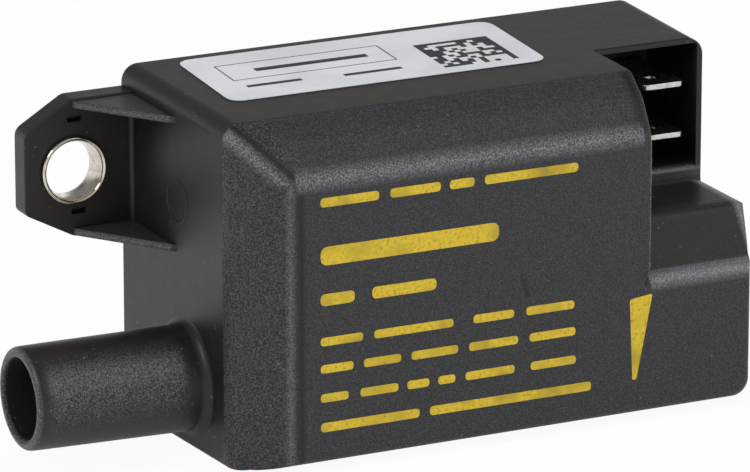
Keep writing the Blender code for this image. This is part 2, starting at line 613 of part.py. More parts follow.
def build_potting():
    """Cast resin that closes the back; every pocket in it opens towards the front wall."""
    back, notch, right = 0.5, CAVITY_NOTCH - GAP, CAVITY_RIGHT - GAP
    low, high = CAVITY_LOW + GAP, CAVITY_HIGH - GAP
    lap = CAVITY_LAP - GAP
    resin = block("potting_compound", CAVITY_LEFT + GAP, notch, back, CAVITY_DEPTH - GAP, low, high)
    for name, limits in (
            ("front", (CAVITY_FRONT_LEFT + GAP, notch, CAVITY_DEPTH - 2.0, CAVITY_FRONT_DEPTH - GAP,
                       CAVITY_FRONT_LOW + GAP, CAVITY_FRONT_HIGH - GAP)),
            ("block", (CAVITY_NOTCH - lap, right, back, CAVITY_BLOCK_DEPTH - GAP, low,
                       CAVITY_BLOCK_HIGH - GAP)),
            ("bay", (CAVITY_NOTCH - lap, right, back, CAVITY_BAY_DEPTH - GAP,
                     CAVITY_BLOCK_HIGH - CAVITY_LAP - GAP, high))):
        combine(resin, block(name, *limits), "UNION")
    front = BODY_DEPTH + 4.0
    coil_back = COIL_AXIS_DEPTH - FLANGE_RADIUS - 0.4
    lead_low, lead_high = TAB_LOWER_HEIGHT, TAB_UPPER_HEIGHT
    lead_x = BOARD_RIGHT - 1.6
    pockets = (
        ("coil", COIL_LEFT - 0.6, COIL_RIGHT + 2.9, coil_back, front,
         COIL_AXIS_HEIGHT - FLANGE_RADIUS - 0.4,
         COIL_AXIS_HEIGHT + FLANGE_RADIUS + 0.4),
        ("board", BOARD_LEFT - 0.5, BOARD_RIGHT + 0.5, BOARD_BACK - 0.7, front, BOARD_BASE - 0.4,
         BODY_HEIGHT - BOARD_ROOM + 0.6),
        ("risers", COIL_RIGHT + 0.5, COIL_RIGHT + 2.9, 10.0, front, COIL_AXIS_HEIGHT, BOARD_BASE + 0.2),
        ("contact", 0.0, COIL_LEFT, TUBE_AXIS_DEPTH - 1.8, front, TUBE_AXIS_HEIGHT - 4.6,
         TUBE_AXIS_HEIGHT + 1.8),
        ("upper_lead", lead_x - 1.2, TAB_LEFT + 0.2, TAB_REAR_DEPTH - 0.5, front, lead_high - 1.1,
         lead_high + 1.1),
        ("lower_lead", lead_x - 3.4, TAB_LEFT + 0.2, TAB_REAR_DEPTH - 0.5, front, lead_low - 1.1,
         lead_low + 1.1),
        ("upper_drop", lead_x - 1.2, lead_x + 1.2, TAB_REAR_DEPTH - 0.5, front, BOARD_TOP, lead_high + 1.1),
        ("lower_drop", lead_x - 3.4, lead_x - 1.0, TAB_REAR_DEPTH - 0.5, front, BOARD_TOP, lead_low + 1.1),
        ("upper_tab", TAB_LEFT - 0.6, TAB_RIGHT + 0.5, TAB_REAR_DEPTH - 0.5, front, lead_high - 0.9,
         lead_high + 0.9),
        ("lower_tab", TAB_LEFT - 0.6, TAB_RIGHT + 0.5, TAB_REAR_DEPTH - 0.5, front, lead_low - 0.9,
         lead_low + 0.9),
    )
    for name, *limits in pockets:
        combine(resin, block(name, *limits), "DIFFERENCE")
    return finish(resin, material("potting_resin", (0.05, 0.05, 0.055), roughness=0.6), None)


def build_coil():
    """Ferrite rod, primary and chambered secondary of the pulse transformer."""
    u, z = COIL_AXIS_DEPTH, COIL_AXIS_HEIGHT
    left, right = COIL_LEFT, COIL_RIGHT
    rod = stepped_rod_x("ferrite_rod", [(left - 0.3, ROD_RADIUS - 0.4), (left + 0.1, ROD_RADIUS),
                                        (right - 0.1, ROD_RADIUS), (right + 0.3, ROD_RADIUS - 0.4)], u, z,
                        32)
    finish(rod, material("ferrite", (0.06, 0.06, 0.065), roughness=0.7))

    inner, outer, rim = ROD_RADIUS + GAP, PRIMARY_HUB_RADIUS, HUB_BORE_RADIUS - GAP
    profile = [(left + 0.2, inner), (left + 0.2, rim), (left + 1.2, rim), (left + 1.2, outer),
               (right - 1.2, outer), (right - 1.2, rim), (right - 0.2, rim), (right - 0.2, inner)]
    finish(turned_x("primary_bobbin", profile, u, z), material("primary_bobbin_plastic", (0.6, 0.58, 0.5)))

    profile = [(left + 1.5, outer + GAP), (left + 1.5, rim - 0.1), (right - 1.5, rim - 0.1),
               (right - 1.5, outer + GAP)]
    finish(turned_x("primary_winding", profile, u, z),
           material("primary_copper", (0.45, 0.18, 0.07), 1.0, 0.35))

    end, web = 1.2, 1.0
    width = (COIL_LENGTH - 2 * end - (CHAMBERS - 1) * web) / CHAMBERS
    profile = [(left, HUB_BORE_RADIUS), (left, FLANGE_RADIUS)]
    x = left + end
    chambers = []
    for i in range(CHAMBERS):
        rim_here = FLANGE_RADIUS if i == 0 else FLANGE_RADIUS - 0.3
        profile += [(x, rim_here), (x, HUB_RADIUS), (x + width, HUB_RADIUS),
                    (x + width, FLANGE_RADIUS if i == CHAMBERS - 1 else FLANGE_RADIUS - 0.3)]
        chambers.append((x, x + width))
        x += width + web
    profile += [(right, FLANGE_RADIUS), (right, HUB_BORE_RADIUS)]
    bobbin = turned_x("secondary_bobbin", profile, u, z)
    for x0, x1, du, dz in ((left - 0.3, left + end + 0.3, EXIT_DEPTH, -EXIT_DROP),
                           (right - end - 0.3, right + 0.3, RETURN_DEPTH, RETURN_RISE)):
        combine(bobbin, rod_x("hole", x0, x1, u + du, z + dz, FINE_LEAD_RADIUS + GAP, 14), "DIFFERENCE")
    finish(bobbin, material("secondary_bobbin_plastic", (0.62, 0.6, 0.52)))
    for i, (x0, x1) in enumerate(chambers, 1):
        profile = [(x0 + GAP, HUB_RADIUS + GAP), (x0 + GAP, FLANGE_RADIUS - 1.0),
                   (x1 - GAP, FLANGE_RADIUS - 1.0),
                   (x1 - GAP, HUB_RADIUS + GAP)]
        finish(turned_x(f"secondary_winding_{i}", profile, u, z),
               material(f"secondary_copper_{i}", (0.4, 0.15, 0.06), 1.0, 0.4))
    return chambers


def build_contact_and_leads(chambers):
    """Socket contact and the wires between coil, board and tabs."""
    tin = (0.7, 0.7, 0.68)
    u, z = TUBE_AXIS_DEPTH, TUBE_AXIS_HEIGHT
    inside = END_FACE_AT_TUBE + 0.1
    pin = stepped_rod_x("socket_contact", [(-PIN_REACH, 0.5), (-PIN_REACH + 0.5, PIN_RADIUS - 0.4),
                                           (-PIN_REACH + 1.5, PIN_RADIUS), (inside - GAP - 0.3, PIN_RADIUS),
                                           (inside - GAP, PIN_STEM_RADIUS), (WALL + 2.0, PIN_STEM_RADIUS)],
                        u, z)
    finish(pin, material("contact_brass", (0.7, 0.5, 0.2), 1.0, 0.3))

    cu, cz = COIL_AXIS_DEPTH, COIL_AXIS_HEIGHT
    start = WALL + 2.0 + GAP
    out = wire("socket_lead", [(start, u, z), (start + 0.9, u, z),
                               (COIL_LEFT - 1.2, cu + EXIT_DEPTH, cz - EXIT_DROP),
                               (chambers[0][0], cu + EXIT_DEPTH, cz - EXIT_DROP)], FINE_LEAD_RADIUS)
    finish(out, material("socket_lead_wire", tin, 1.0, 0.4))

    board_low = BOARD_BASE - GAP
    x = COIL_RIGHT + 1.6
    back = wire("return_lead", [(chambers[-1][1], cu + RETURN_DEPTH, cz + RETURN_RISE),
                                (x, cu + RETURN_DEPTH, cz + RETURN_RISE),
                                (x, cu + RETURN_DEPTH, board_low)],
                FINE_LEAD_RADIUS)
    finish(back, material("return_lead_wire", tin, 1.0, 0.4))
    for n, exit_at in enumerate(PRIMARY_EXITS, 1):
        du, dz = (share * FLANGE_RADIUS for share in exit_at)
        lead = wire(f"primary_lead_{n}", [(COIL_RIGHT + 0.45, cu + du, cz + dz), (x, cu + du, cz + dz),
                                          (x, cu + du, board_low)], FINE_LEAD_RADIUS)
        finish(lead, material(f"primary_lead_wire_{n}", tin, 1.0, 0.4))

    lead_x = BOARD_RIGHT - 1.6
    depth = TAB_REAR_DEPTH + 1.0
    for name, height, drop in (("line_lead", TAB_UPPER_HEIGHT, lead_x),
                               ("neutral_lead", TAB_LOWER_HEIGHT, lead_x - 2.2)):
        path = [(TAB_LEFT - GAP, depth, height), (drop, depth, height), (drop, BOARD_BACK + 1.6, height),
                (drop, BOARD_BACK + 1.6, BOARD_TOP + GAP)]
        finish(wire(name, path, LEAD_RADIUS), material(name + "_sleeve", (0.35, 0.2, 0.12)))


def softened_block(name, x0, x1, u0, u1, z0, z1, cut):
    """Box whose four upright edges and top rim are cut back."""
    def ring(z, inset):
        a, b, c, d = x0 + inset, x1 - inset, u0 + inset, u1 - inset
        return [(a + cut, c, z), (b - cut, c, z), (b, c + cut, z), (b, d - cut, z),
                (b - cut, d, z), (a + cut, d, z), (a, d - cut, z), (a, c + cut, z)]
    return loft(name, [ring(z0, 0.0), ring(z1 - cut, 0.0), ring(z1, cut * 0.8)])


def build_board():
    """Circuit board with the parts that charge and fire the primary."""
    left, base, top = BOARD_LEFT, BOARD_BASE, BOARD_TOP
    board = block("circuit_board", left, BOARD_RIGHT, BOARD_BACK, BOARD_BACK + BOARD_WIDTH, base, top)
    finish(board, material("board_laminate", (0.05, 0.2, 0.08)), None)
    seat = top + GAP
    back, long, deep = BOARD_BACK, BOARD_LENGTH, BOARD_WIDTH
    room = BODY_HEIGHT - BOARD_ROOM - seat

    capacitor = softened_block("storage_capacitor", left + long * 0.04, left + long * 0.475,
                               back + deep * 0.07,
                               back + deep * 0.51, seat, seat + room * 0.93, room * 0.045)
    finish(capacitor, material("capacitor_case", (0.55, 0.1, 0.05)))

    x, step = left + long * 0.555, long * 0.0198
    r, pin = min(room * 0.17, deep * 0.1), LEAD_RADIUS * 0.65
    resistor = [(-1.8, pin), (0.0, pin), (0.0, r * 0.86), (0.5, r), (1.8, r), (2.3, r * 0.82),
                (8.7, r * 0.82),
                (9.2, r), (10.5, r), (11.0, r * 0.86), (11.0, pin), (12.8, pin)]
    finish(stepped_rod_x("charging_resistor", [(x + s * step, q) for s, q in resistor], back + deep * 0.195,
                         seat + r, 20), material("resistor_body", (0.45, 0.35, 0.22)))

    r = min(room * 0.104, deep * 0.066)
    diode = [(-1.8, pin), (0.0, pin), (0.0, r), (5.2, r), (5.2, pin), (7.0, pin)]
    finish(stepped_rod_x("rectifier_diode", [(x + s * step, q) for s, q in diode], back + deep * 0.42,
                         seat + r, 18),
           material("diode_body", (0.05, 0.05, 0.05)))

    r = min(room * 0.073, deep * 0.046)
    trigger = [(-1.6, pin * 0.85), (0.0, pin * 0.85), (0.0, r), (3.8, r), (3.8, pin * 0.85),
               (5.4, pin * 0.85)]
    finish(stepped_rod_x("trigger_diode", [(x + s * step, q) for s, q in trigger], back + deep * 0.595,
                         seat + r, 16),
           material("trigger_glass", (0.4, 0.12, 0.05)))

    near, far = back + deep * 0.72, back + deep * 0.935
    thyristor = softened_block("switching_thyristor", x - 0.5 * step, x + 9.5 * step, near, far, seat,
                               seat + room * 0.68, room * 0.03)
    blade = block("heat_tab", x - 0.5 * step, x + 9.5 * step, near, near + deep * 0.063, seat + room * 0.6,
                  seat + room * 0.96)
    combine(thyristor, blade, "UNION")
    finish(thyristor, material("thyristor_case", (0.06, 0.06, 0.065)))

    disc, r = [], room * 0.275
    for i in range(20):
        a = 2 * math.pi * i / 20
        disc.append((left + long * 0.26 + r * math.cos(a), seat + r * 1.02 + r * math.sin(a)))
    finish(prism_u("surge_suppressor", disc, back + deep * 0.66, back + deep * 0.78),
           material("suppressor_coating", (0.1, 0.2, 0.5)))


def main():
    """Builds every piece of the ignition transformer."""
    build_housing()
    build_eyelet()
    build_tab("tab_line", TAB_UPPER_HEIGHT)
    build_tab("tab_neutral", TAB_LOWER_HEIGHT)
    build_label()
    build_potting()
    chambers = build_coil()
    build_contact_and_leads(chambers)
    build_board()


main()
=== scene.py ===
"""Looks of the ignition transformer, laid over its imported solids.

A point is worked out as (x, u, z) in millimetres: x from the left end of the body, u the depth from
the flat back towards the printed front, z the height above the underside.
"""
from __future__ import annotations

import logging
from collections.abc import Sequence
from dataclasses import dataclass
from enum import Enum
from typing import Union

import bmesh
import bpy
import numpy as np
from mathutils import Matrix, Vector

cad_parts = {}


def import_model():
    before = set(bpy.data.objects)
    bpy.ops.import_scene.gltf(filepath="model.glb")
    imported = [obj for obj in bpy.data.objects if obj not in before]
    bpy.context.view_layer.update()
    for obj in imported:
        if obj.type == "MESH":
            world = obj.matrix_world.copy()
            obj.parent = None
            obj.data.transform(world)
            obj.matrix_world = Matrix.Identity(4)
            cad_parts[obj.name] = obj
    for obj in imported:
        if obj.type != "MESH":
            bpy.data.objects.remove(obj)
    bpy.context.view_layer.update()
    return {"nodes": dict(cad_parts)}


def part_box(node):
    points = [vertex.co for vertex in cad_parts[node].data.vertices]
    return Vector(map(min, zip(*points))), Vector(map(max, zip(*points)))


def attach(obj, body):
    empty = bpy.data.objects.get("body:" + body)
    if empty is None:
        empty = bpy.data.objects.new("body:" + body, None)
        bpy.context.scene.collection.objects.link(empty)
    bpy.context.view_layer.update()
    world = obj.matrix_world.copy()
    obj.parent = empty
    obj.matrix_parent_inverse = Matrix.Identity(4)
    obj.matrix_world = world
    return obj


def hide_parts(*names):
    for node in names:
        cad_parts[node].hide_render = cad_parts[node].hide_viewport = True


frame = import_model()

LOG = logging.getLogger("ignition_transformer")
MM = 0.001                              # metres in a millimetre
X_MIDDLE, U_MIDDLE = 26.6, 17.975       # mm, the point that lies over the origin
BODY_HEIGHT, BODY_DEPTH = 47.4, 35.95   # mm
DRAFT = 0.0219                          # slope of the moulded faces, from the back to the front
EYE_REACH, EYE_HEIGHT = 8.6, 34.93      # mm, lug's eye left of the body and above the underside
TAB_HEIGHTS = (40.6, 33.55)             # mm, middle of the line tab and of the neutral tab
LOW, HIGH = -99.0, 99.0                 # mm, limits that no point of the object reaches
ROUND = 2.0 * np.pi

Socket = bpy.types.NodeSocket
Value = Union[bpy.types.NodeSocket, float]
Colour = Union[bpy.types.NodeSocket, str]


class Along(Enum):
    """Which way a plate is drawn out; the value says where outline a, outline b and height go."""

    DEPTH = (0, 2, 1)
    HEIGHT = (0, 1, 2)
    LENGTH = (1, 2, 0)


class Cut(Enum):
    """How one solid acts on another."""

    JOIN = "UNION"
    REMOVE = "DIFFERENCE"


def world(points: np.ndarray) -> np.ndarray:
    """Turns (x, u, z) millimetres into world metres."""
    p = np.asarray(points, float)
    return np.stack([p[..., 0] - X_MIDDLE, U_MIDDLE - p[..., 1], p[..., 2]], -1) * MM


def through(stations: Sequence, at: np.ndarray) -> np.ndarray:
    """Smooth curve through (position, value) stations.

    Formula: cubic Hermite between neighbours, each slope the harmonic mean of the two chords beside it,
    so the curve never swings past a station.

    Args:
        stations: rows of position and value, positions rising.
        at: positions to read the curve at.

    Returns:
        The values, in the shape of at.
    """
    x, y = np.asarray(stations, float).T
    step = np.diff(x)
    chord = np.diff(y) / step
    slope = np.concatenate([chord[:1], np.zeros(len(chord) - 1), chord[-1:]])
    product = chord[:-1] * chord[1:]
    total = chord[:-1] + chord[1:]
    slope[1:-1] = np.where(product > 0, 2 * product / np.where(product > 0, total, 1.0), 0.0)
    i = np.clip(np.searchsorted(x, at, side="right") - 1, 0, len(step) - 1)
    t = (at - x[i]) / step[i]
    near, far = (1 + 2 * t) * (1 - t) ** 2, t * t * (3 - 2 * t)
    bend = t * (1 - t) ** 2 * slope[i] + t * t * (t - 1) * slope[i + 1]
    return near * y[i] + far * y[i + 1] + step[i] * bend


def curve(points: Sequence, count: int) -> np.ndarray:
    """Smooth plane curve through points, read at even shares of its chord length.

    Args:
        points: rows of two coordinates.
        count: number of points wanted.

    Returns:
        Array of count rows of two coordinates.
    """
    p = np.asarray(points, float)
    run = np.concatenate([[0.0], np.cumsum(np.hypot(*np.diff(p, axis=0).T))])
    at = np.linspace(0.0, run[-1], count)
    return np.stack([through(np.stack([run, p[:, k]], -1), at) for k in (0, 1)], -1)


def arc(a: float, b: float, radius: float, start: float, turn: float, count: int) -> np.ndarray:
    """Arc about (a, b): centre plus radius times cosine and sine of angles from start over turn degrees."""
    angle = np.radians(start + turn * np.linspace(0.0, 1.0, count))
    return np.stack([a + radius * np.cos(angle), b + radius * np.sin(angle)], -1)


def soft_corners(outline: Sequence, radii: float | Sequence, count: int = 6) -> np.ndarray:
    """Closed outline with each corner turned into a quadratic curve that starts radius away from it.

    Formula: with p the corner and a, b the points radius along its two sides, the curve is
    (1-t)^2 a + 2t(1-t) p + t^2 b.

    Args:
        outline: corner points in order.
        radii: distance cut back, for every corner or for each.
        count: points on each corner.

    Returns:
        Array of len(outline) times count points.
    """
    p = np.asarray(outline, float)
    size = np.broadcast_to(radii, len(p))[:, None]
    before, after = np.roll(p, 1, 0) - p, np.roll(p, -1, 0) - p
    a = p + before / np.linalg.norm(before, axis=1, keepdims=True) * size
    b = p + after / np.linalg.norm(after, axis=1, keepdims=True) * size
    t = np.linspace(0.0, 1.0, count)[None, :, None]
    rounded = (1 - t) ** 2 * a[:, None] + 2 * t * (1 - t) * p[:, None] + t * t * b[:, None]
    return rounded.reshape(-1, 2)


def new_object(name: str, points: np.ndarray, faces: list) -> bpy.types.Object:
    """Object at the origin whose faces are turned outwards.

    Args:
        name: name of the object and its mesh.
        points: array of (x, u, z) points of any shape.
        faces: rows of point numbers.

    Returns:
        The new object.
    """
    mesh = bpy.data.meshes.new(name)
    mesh.from_pydata(world(points).reshape(-1, 3).tolist(), [], faces)
    shape = bmesh.new()
    shape.from_mesh(mesh)
    bmesh.ops.recalc_face_normals(shape, faces=shape.faces)
    shape.to_mesh(mesh)
    shape.free()
    obj = bpy.data.objects.new(name, mesh)
    bpy.context.scene.collection.objects.link(obj)
    return obj


def grid_faces(rows: int, columns: int, ring: bool = True, loop: bool = False) -> list:
    """Four-sided faces between the points of a grid.

    Args:
        rows: number of rows of points.
        columns: points in each row.
        ring: whether the last column joins the first.
        loop: whether the last row joins the first.

    Returns:
        List of index rows.
    """
    r, c = np.meshgrid(np.arange(rows if loop else rows - 1), np.arange(columns if ring else columns - 1),
                       indexing="ij")
    after, below = (c + 1) % columns, (r + 1) % rows
    corners = [r * columns + c, r * columns + after, below * columns + after, below * columns + c]
    return np.stack(corners, -1).reshape(-1, 4).tolist()


def loft(name: str, rings: np.ndarray) -> bpy.types.Object:
    """Closed solid through rings of points, with flat caps.

    Args:
        name: name of the solid.
        rings: array of rings by points by (x, u, z).

    Returns:
        The new object.
    """
    rows, columns = rings.shape[:2]
    caps = [list(range(columns)), list(range((rows - 1) * columns, rows * columns))]
    return new_object(name, rings, grid_faces(rows, columns) + caps)


def turned(name: str, profile: Sequence, around: tuple[float, float], along: Along, steps: int,
           closed: bool = True) -> bpy.types.Object:
    """Surface turned about an axis.

    Formula: each (position, radius) of the profile becomes a circle, centre plus radius times cosine and
    sine, at that position along the axis.

    Args:
        name: name of the piece.
        profile: rows of position along the axis and radius.
        around: the two other coordinates of the axis.
        along: direction of the axis.
        steps: points on each circle.
        closed: whether the profile is itself a closed loop, else flat caps close it.

    Returns:
        The new object.
    """
    p = np.asarray(profile, float)
    angle = np.linspace(0.0, ROUND, steps, endpoint=False)[None]
    a = around[0] + p[:, 1:] * np.cos(angle)
    b = around[1] + p[:, 1:] * np.sin(angle)
    plain = np.stack([a, b, np.broadcast_to(p[:, :1], a.shape)], -1)
    rings = reorder(plain, along)
    if not closed:
        return loft(name, rings)
    return new_object(name, rings, grid_faces(len(p), steps, loop=True))


def reorder(plain: np.ndarray, along: Along) -> np.ndarray:
    """Puts (outline a, outline b, height) into (x, u, z).

    Args:
        plain: array whose last axis is (outline a, outline b, height).
        along: direction of the height.

    Returns:
        Array of the same shape whose last axis is (x, u, z).
    """
    out = np.empty_like(plain)
    out[..., list(along.value)] = plain
    return out


def plate(name: str, outline: Sequence, low: float, high: float, along: Along,
          rim: float = 0.0) -> bpy.types.Object:
    """Outline drawn out between two heights, with quarter-round rims.

    Formula: near a rim the outline moves inwards along its mitred normals by rim times (1 - cosine) while
    the height follows rim times sine.

    Args:
        name: name of the piece.
        outline: closed outline as rows of two coordinates.
        low: lower height.
        high: upper height.
        along: direction of the height.
        rim: radius of both rims.

    Returns:
        The new object.
    """
    p = np.asarray(outline, float)
    edge = np.roll(p, -1, 0) - p
    edge /= np.linalg.norm(edge, axis=1, keepdims=True)
    area = np.sum(p[:, 0] * np.roll(p[:, 1], -1) - np.roll(p[:, 0], -1) * p[:, 1])
    inward = np.stack([-edge[:, 1], edge[:, 0]], -1) * np.sign(area)
    mitre = inward + np.roll(inward, 1, 0)
    mitre /= np.sum(mitre * mitre, axis=1, keepdims=True) / 2.0
    quarter = np.linspace(0.0, np.pi / 2, 5)
    drop, inset = rim * np.sin(quarter), rim * (1.0 - np.cos(quarter))
    heights, insets = np.array([low, high]), np.zeros(2)
    if rim > 0:
        heights = np.concatenate([low + rim - drop[::-1], high - rim + drop])
        insets = np.concatenate([inset[::-1], inset])
    flat = p[None] + mitre[None] * insets[:, None, None]
    level = np.broadcast_to(heights[:, None, None], (len(heights), len(p), 1))
    return loft(name, reorder(np.concatenate([flat, level], -1), along))


def rectangle(a: tuple, b: tuple) -> np.ndarray:
    """Corner points of a rectangle between (low, high) limits of its two coordinates."""
    return np.array([(a[0], b[0]), (a[1], b[0]), (a[1], b[1]), (a[0], b[1])], float)


def box(name: str, x: tuple, u: tuple, z: tuple) -> bpy.types.Object:
    """Rectangular solid between (low, high) limits."""
    return plate(name, rectangle(x, u), *z, Along.HEIGHT)


def merged(name: str, parts: list[bpy.types.Object]) -> bpy.types.Object:
    """Joins separate closed meshes into one object without welding them.

    Args:
        name: name of the joined object.
        parts: objects to join, which are removed.

    Returns:
        The joined object.
    """
    shape = bmesh.new()
    for part in parts:
        shape.from_mesh(part.data)
        bpy.data.objects.remove(part, do_unlink=True)
    mesh = bpy.data.meshes.new(name)
    shape.to_mesh(mesh)
    shape.free()
    obj = bpy.data.objects.new(name, mesh)
    bpy.context.scene.collection.objects.link(obj)
    return obj


def combine(target: bpy.types.Object, other: bpy.types.Object, cut: Cut) -> None:
    """Adds one solid to another or takes it away, and keeps the result as plain mesh.

    Args:
        target: solid that is changed.
        other: solid that acts on it, which is removed.
        cut: whether it is joined or taken away.
    """
    modifier = target.modifiers.new(cut.name.lower(), "BOOLEAN")
    modifier.operation = cut.value
    modifier.solver = "EXACT"
    modifier.object = other
    graph = bpy.context.evaluated_depsgraph_get()
    result = bpy.data.meshes.new_from_object(target.evaluated_get(graph))
    target.modifiers.clear()
    target.data = result
    bpy.data.objects.remove(other, do_unlink=True)


def smooth(obj: bpy.types.Object, angle: float = 30.0, weld: float = 0.004, weighted: bool = True) -> None:
    """Welds coincident points, shades smoothly up to an angle and weighs normals by face size.

    Args:
        obj: piece to finish.
        angle: edges sharper than this many degrees stay crisp.
        weld: welding distance in millimetres.
        weighted: whether large faces rule the shading of small ones.
    """
    shape = bmesh.new()
    shape.from_mesh(obj.data)
    bmesh.ops.remove_doubles(shape, verts=shape.verts, dist=weld * MM)
    bmesh.ops.dissolve_degenerate(shape, edges=shape.edges, dist=weld * MM * 0.5)
    bmesh.ops.recalc_face_normals(shape, faces=shape.faces)
    shape.to_mesh(obj.data)
    shape.free()
    obj.data.polygons.foreach_set("use_smooth", np.ones(len(obj.data.polygons), bool))
    obj.data.set_sharp_from_angle(angle=np.radians(angle))
    if weighted:
        modifier = obj.modifiers.new("even_shading", "WEIGHTED_NORMAL")
        modifier.keep_sharp = True
        modifier.mode = "FACE_AREA"


def hand_over(obj: bpy.types.Object, look: bpy.types.Material, slot: str | None, *nodes: str) -> None:
    """Gives a finished piece its material and its place in the object.

    Args:
        obj: the finished piece.
        look: its material.
        slot: its material slot, if it has one; not used.
        nodes: the solids that it stands for.
    """
    obj.data.materials.clear()
    obj.data.materials.append(look)
    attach(obj, "root")
    if nodes:
        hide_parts(*nodes)
    LOG.info("%s: %d faces", obj.name, len(obj.data.polygons))


def linear(hex_colour: str) -> tuple[float, float, float, float]:
    """Turns a colour from sRGB into linear RGBA.

    Args:
        hex_colour: the colour, as # and six hex digits.

    Returns:
        Red, green, blue and an alpha of 1.
    """
    value = np.array([int(hex_colour[i:i + 2], 16) for i in (1, 3, 5)]) / 255.0
    out = np.where(value <= 0.04045, value / 12.92, ((value + 0.055) / 1.055) ** 2.4)
    return (*[float(v) for v in out], 1.0)


def node(tree: bpy.types.NodeTree, kind: str, settings: dict | None = None,
         inputs: dict | None = None) -> bpy.types.Node:
    """Adds a node with its settings and with values or links for its inputs.

    Args:
        tree: node tree that gets the node.
        kind: type name of the node.
        settings: attributes to set on it.
        inputs: values by input name or number; a socket is linked, anything else is set.

    Returns:
        The node.
    """
    made = tree.nodes.new(kind)
    for key, value in (settings or {}).items():
        setattr(made, key, value)
    for key, value in (inputs or {}).items():
        if isinstance(value, bpy.types.NodeSocket):
            tree.links.new(value, made.inputs[key])
        else:
            made.inputs[key].default_value = value
    return made


def per_mm(size: float) -> float:
    """Texture scale on Object coordinates, in metres, that repeats every size millimetres."""
    return 1.0 / (size * MM)


class Finish:
    """A material under construction: its tree, its shader and the coordinates that every pattern reads."""

    def __init__(self, name: str, **sockets: object) -> None:
        """Starts the material.

        Args:
            name: name of the material.
            sockets: values of the shader's sockets, whose names have _ for each space.
        """
        self.material = bpy.data.materials.new(name)
        self.material.use_nodes = True
        self.tree = self.material.node_tree
        self.shader = self.tree.nodes["Principled BSDF"]
        for key, value in sockets.items():
            self.shader.inputs[key.replace("_", " ")].default_value = value
        self.place = node(self.tree, "ShaderNodeTexCoord").outputs["Object"]

    def noise(self, size: float, detail: float = 3.0, rough: float = 0.5,
              stretch: tuple = (1, 1, 1)) -> Socket:
        """Noise of a real size.

        Args:
            size: distance in millimetres at which it about repeats.
            detail: number of finer layers on top of it.
            rough: strength of the finer layers.
            stretch: factor on each object coordinate.

        Returns:
            Its value, from 0 to 1.
        """
        place = self.place
        if stretch != (1, 1, 1):
            drawn = node(self.tree, "ShaderNodeMapping", None, {"Vector": place, "Scale": stretch})
            place = drawn.outputs[0]
        made = node(self.tree, "ShaderNodeTexNoise", None,
                    {"Vector": place, "Scale": per_mm(size), "Detail": detail, "Roughness": rough})
        return made.outputs["Fac"]

    def wave(self, size: float, way: str, wobble: float = 0.0) -> Socket:
        """Bands across an axis.

        Args:
            size: pitch of the bands in millimetres.
            way: letter of the axis.
            wobble: distortion of the bands.

        Returns:
            Its value, from 0 to 1.
        """
        made = node(self.tree, "ShaderNodeTexWave", {"bands_direction": way},
                    {"Vector": self.place, "Scale": per_mm(size) / np.pi, "Distortion": wobble})
        return made.outputs["Fac"]

    def ramp(self, value: Value, low: float, high: float, at_low: float = 0.0,
             at_high: float = 1.0) -> Socket:
        """Clamped straight line through two points.

        Args:
            value: value that is read.
            low: value at the first point.
            high: value at the second point.
            at_low: result at the first point and before it.
            at_high: result at the second point and past it.

        Returns:
            The result.
        """
        made = node(self.tree, "ShaderNodeMapRange", None,
                    {"Value": value, "From Min": low, "From Max": high, "To Min": at_low, "To Max": at_high})
        return made.outputs["Result"]

    def maths(self, operation: str, a: Value, b: Value = 0.0) -> Socket:
        """One arithmetic step."""
        return node(self.tree, "ShaderNodeMath", {"operation": operation}, {0: a, 1: b}).outputs[0]

    def product(self, *values: Value) -> Socket:
        """Product of several values.

        Args:
            values: two values or more.

        Returns:
            The product.
        """
        total = values[0]
        for value in values[1:]:
            total = self.maths("MULTIPLY", total, value)
        return total

    def rest(self, share: Value) -> Socket:
        """What a share leaves of 1."""
        return self.maths("SUBTRACT", 1.0, share)

    def blend(self, share: Value, a: Colour, b: Colour) -> Socket:
        """Colour between a and b, each a socket or a hex colour, by share."""
        a, b = (linear(colour) if isinstance(colour, str) else colour for colour in (a, b))
        return node(self.tree, "ShaderNodeMix", {"data_type": "RGBA"}, {0: share, 6: a, 7: b}).outputs[2]

    def axis(self, letter: str) -> Socket:
        """One object coordinate, in metres."""
        return node(self.tree, "ShaderNodeSeparateXYZ", None, {0: self.place}).outputs[letter]

    def colour(self, socket: Socket) -> None:
        """Links the base colour."""
        self.tree.links.new(socket, self.shader.inputs["Base Color"])

    def roughness(self, socket: Socket) -> None:
        """Links the roughness."""
        self.tree.links.new(socket, self.shader.inputs["Roughness"])

    def relief(self, height: Socket, depth: float) -> None:
        """Bump from a height of 0 to 1 that stands for depth millimetres."""
        bump = node(self.tree, "ShaderNodeBump", None, {"Height": height, "Distance": depth * MM})
        self.tree.links.new(bump.outputs[0], self.shader.inputs["Normal"])


@dataclass(frozen=True)
class Edge:
    """A strip of changed tone along an edge, strongest on its middle line (mm)."""

    way: tuple          # weights of x and z; the strip lies where their weighted sum is middle
    middle: float
    half: float         # distance from the middle line at which the strip has faded out
    strength: float
    low: tuple = (LOW, LOW, LOW)
    high: tuple = (HIGH, HIGH, HIGH)


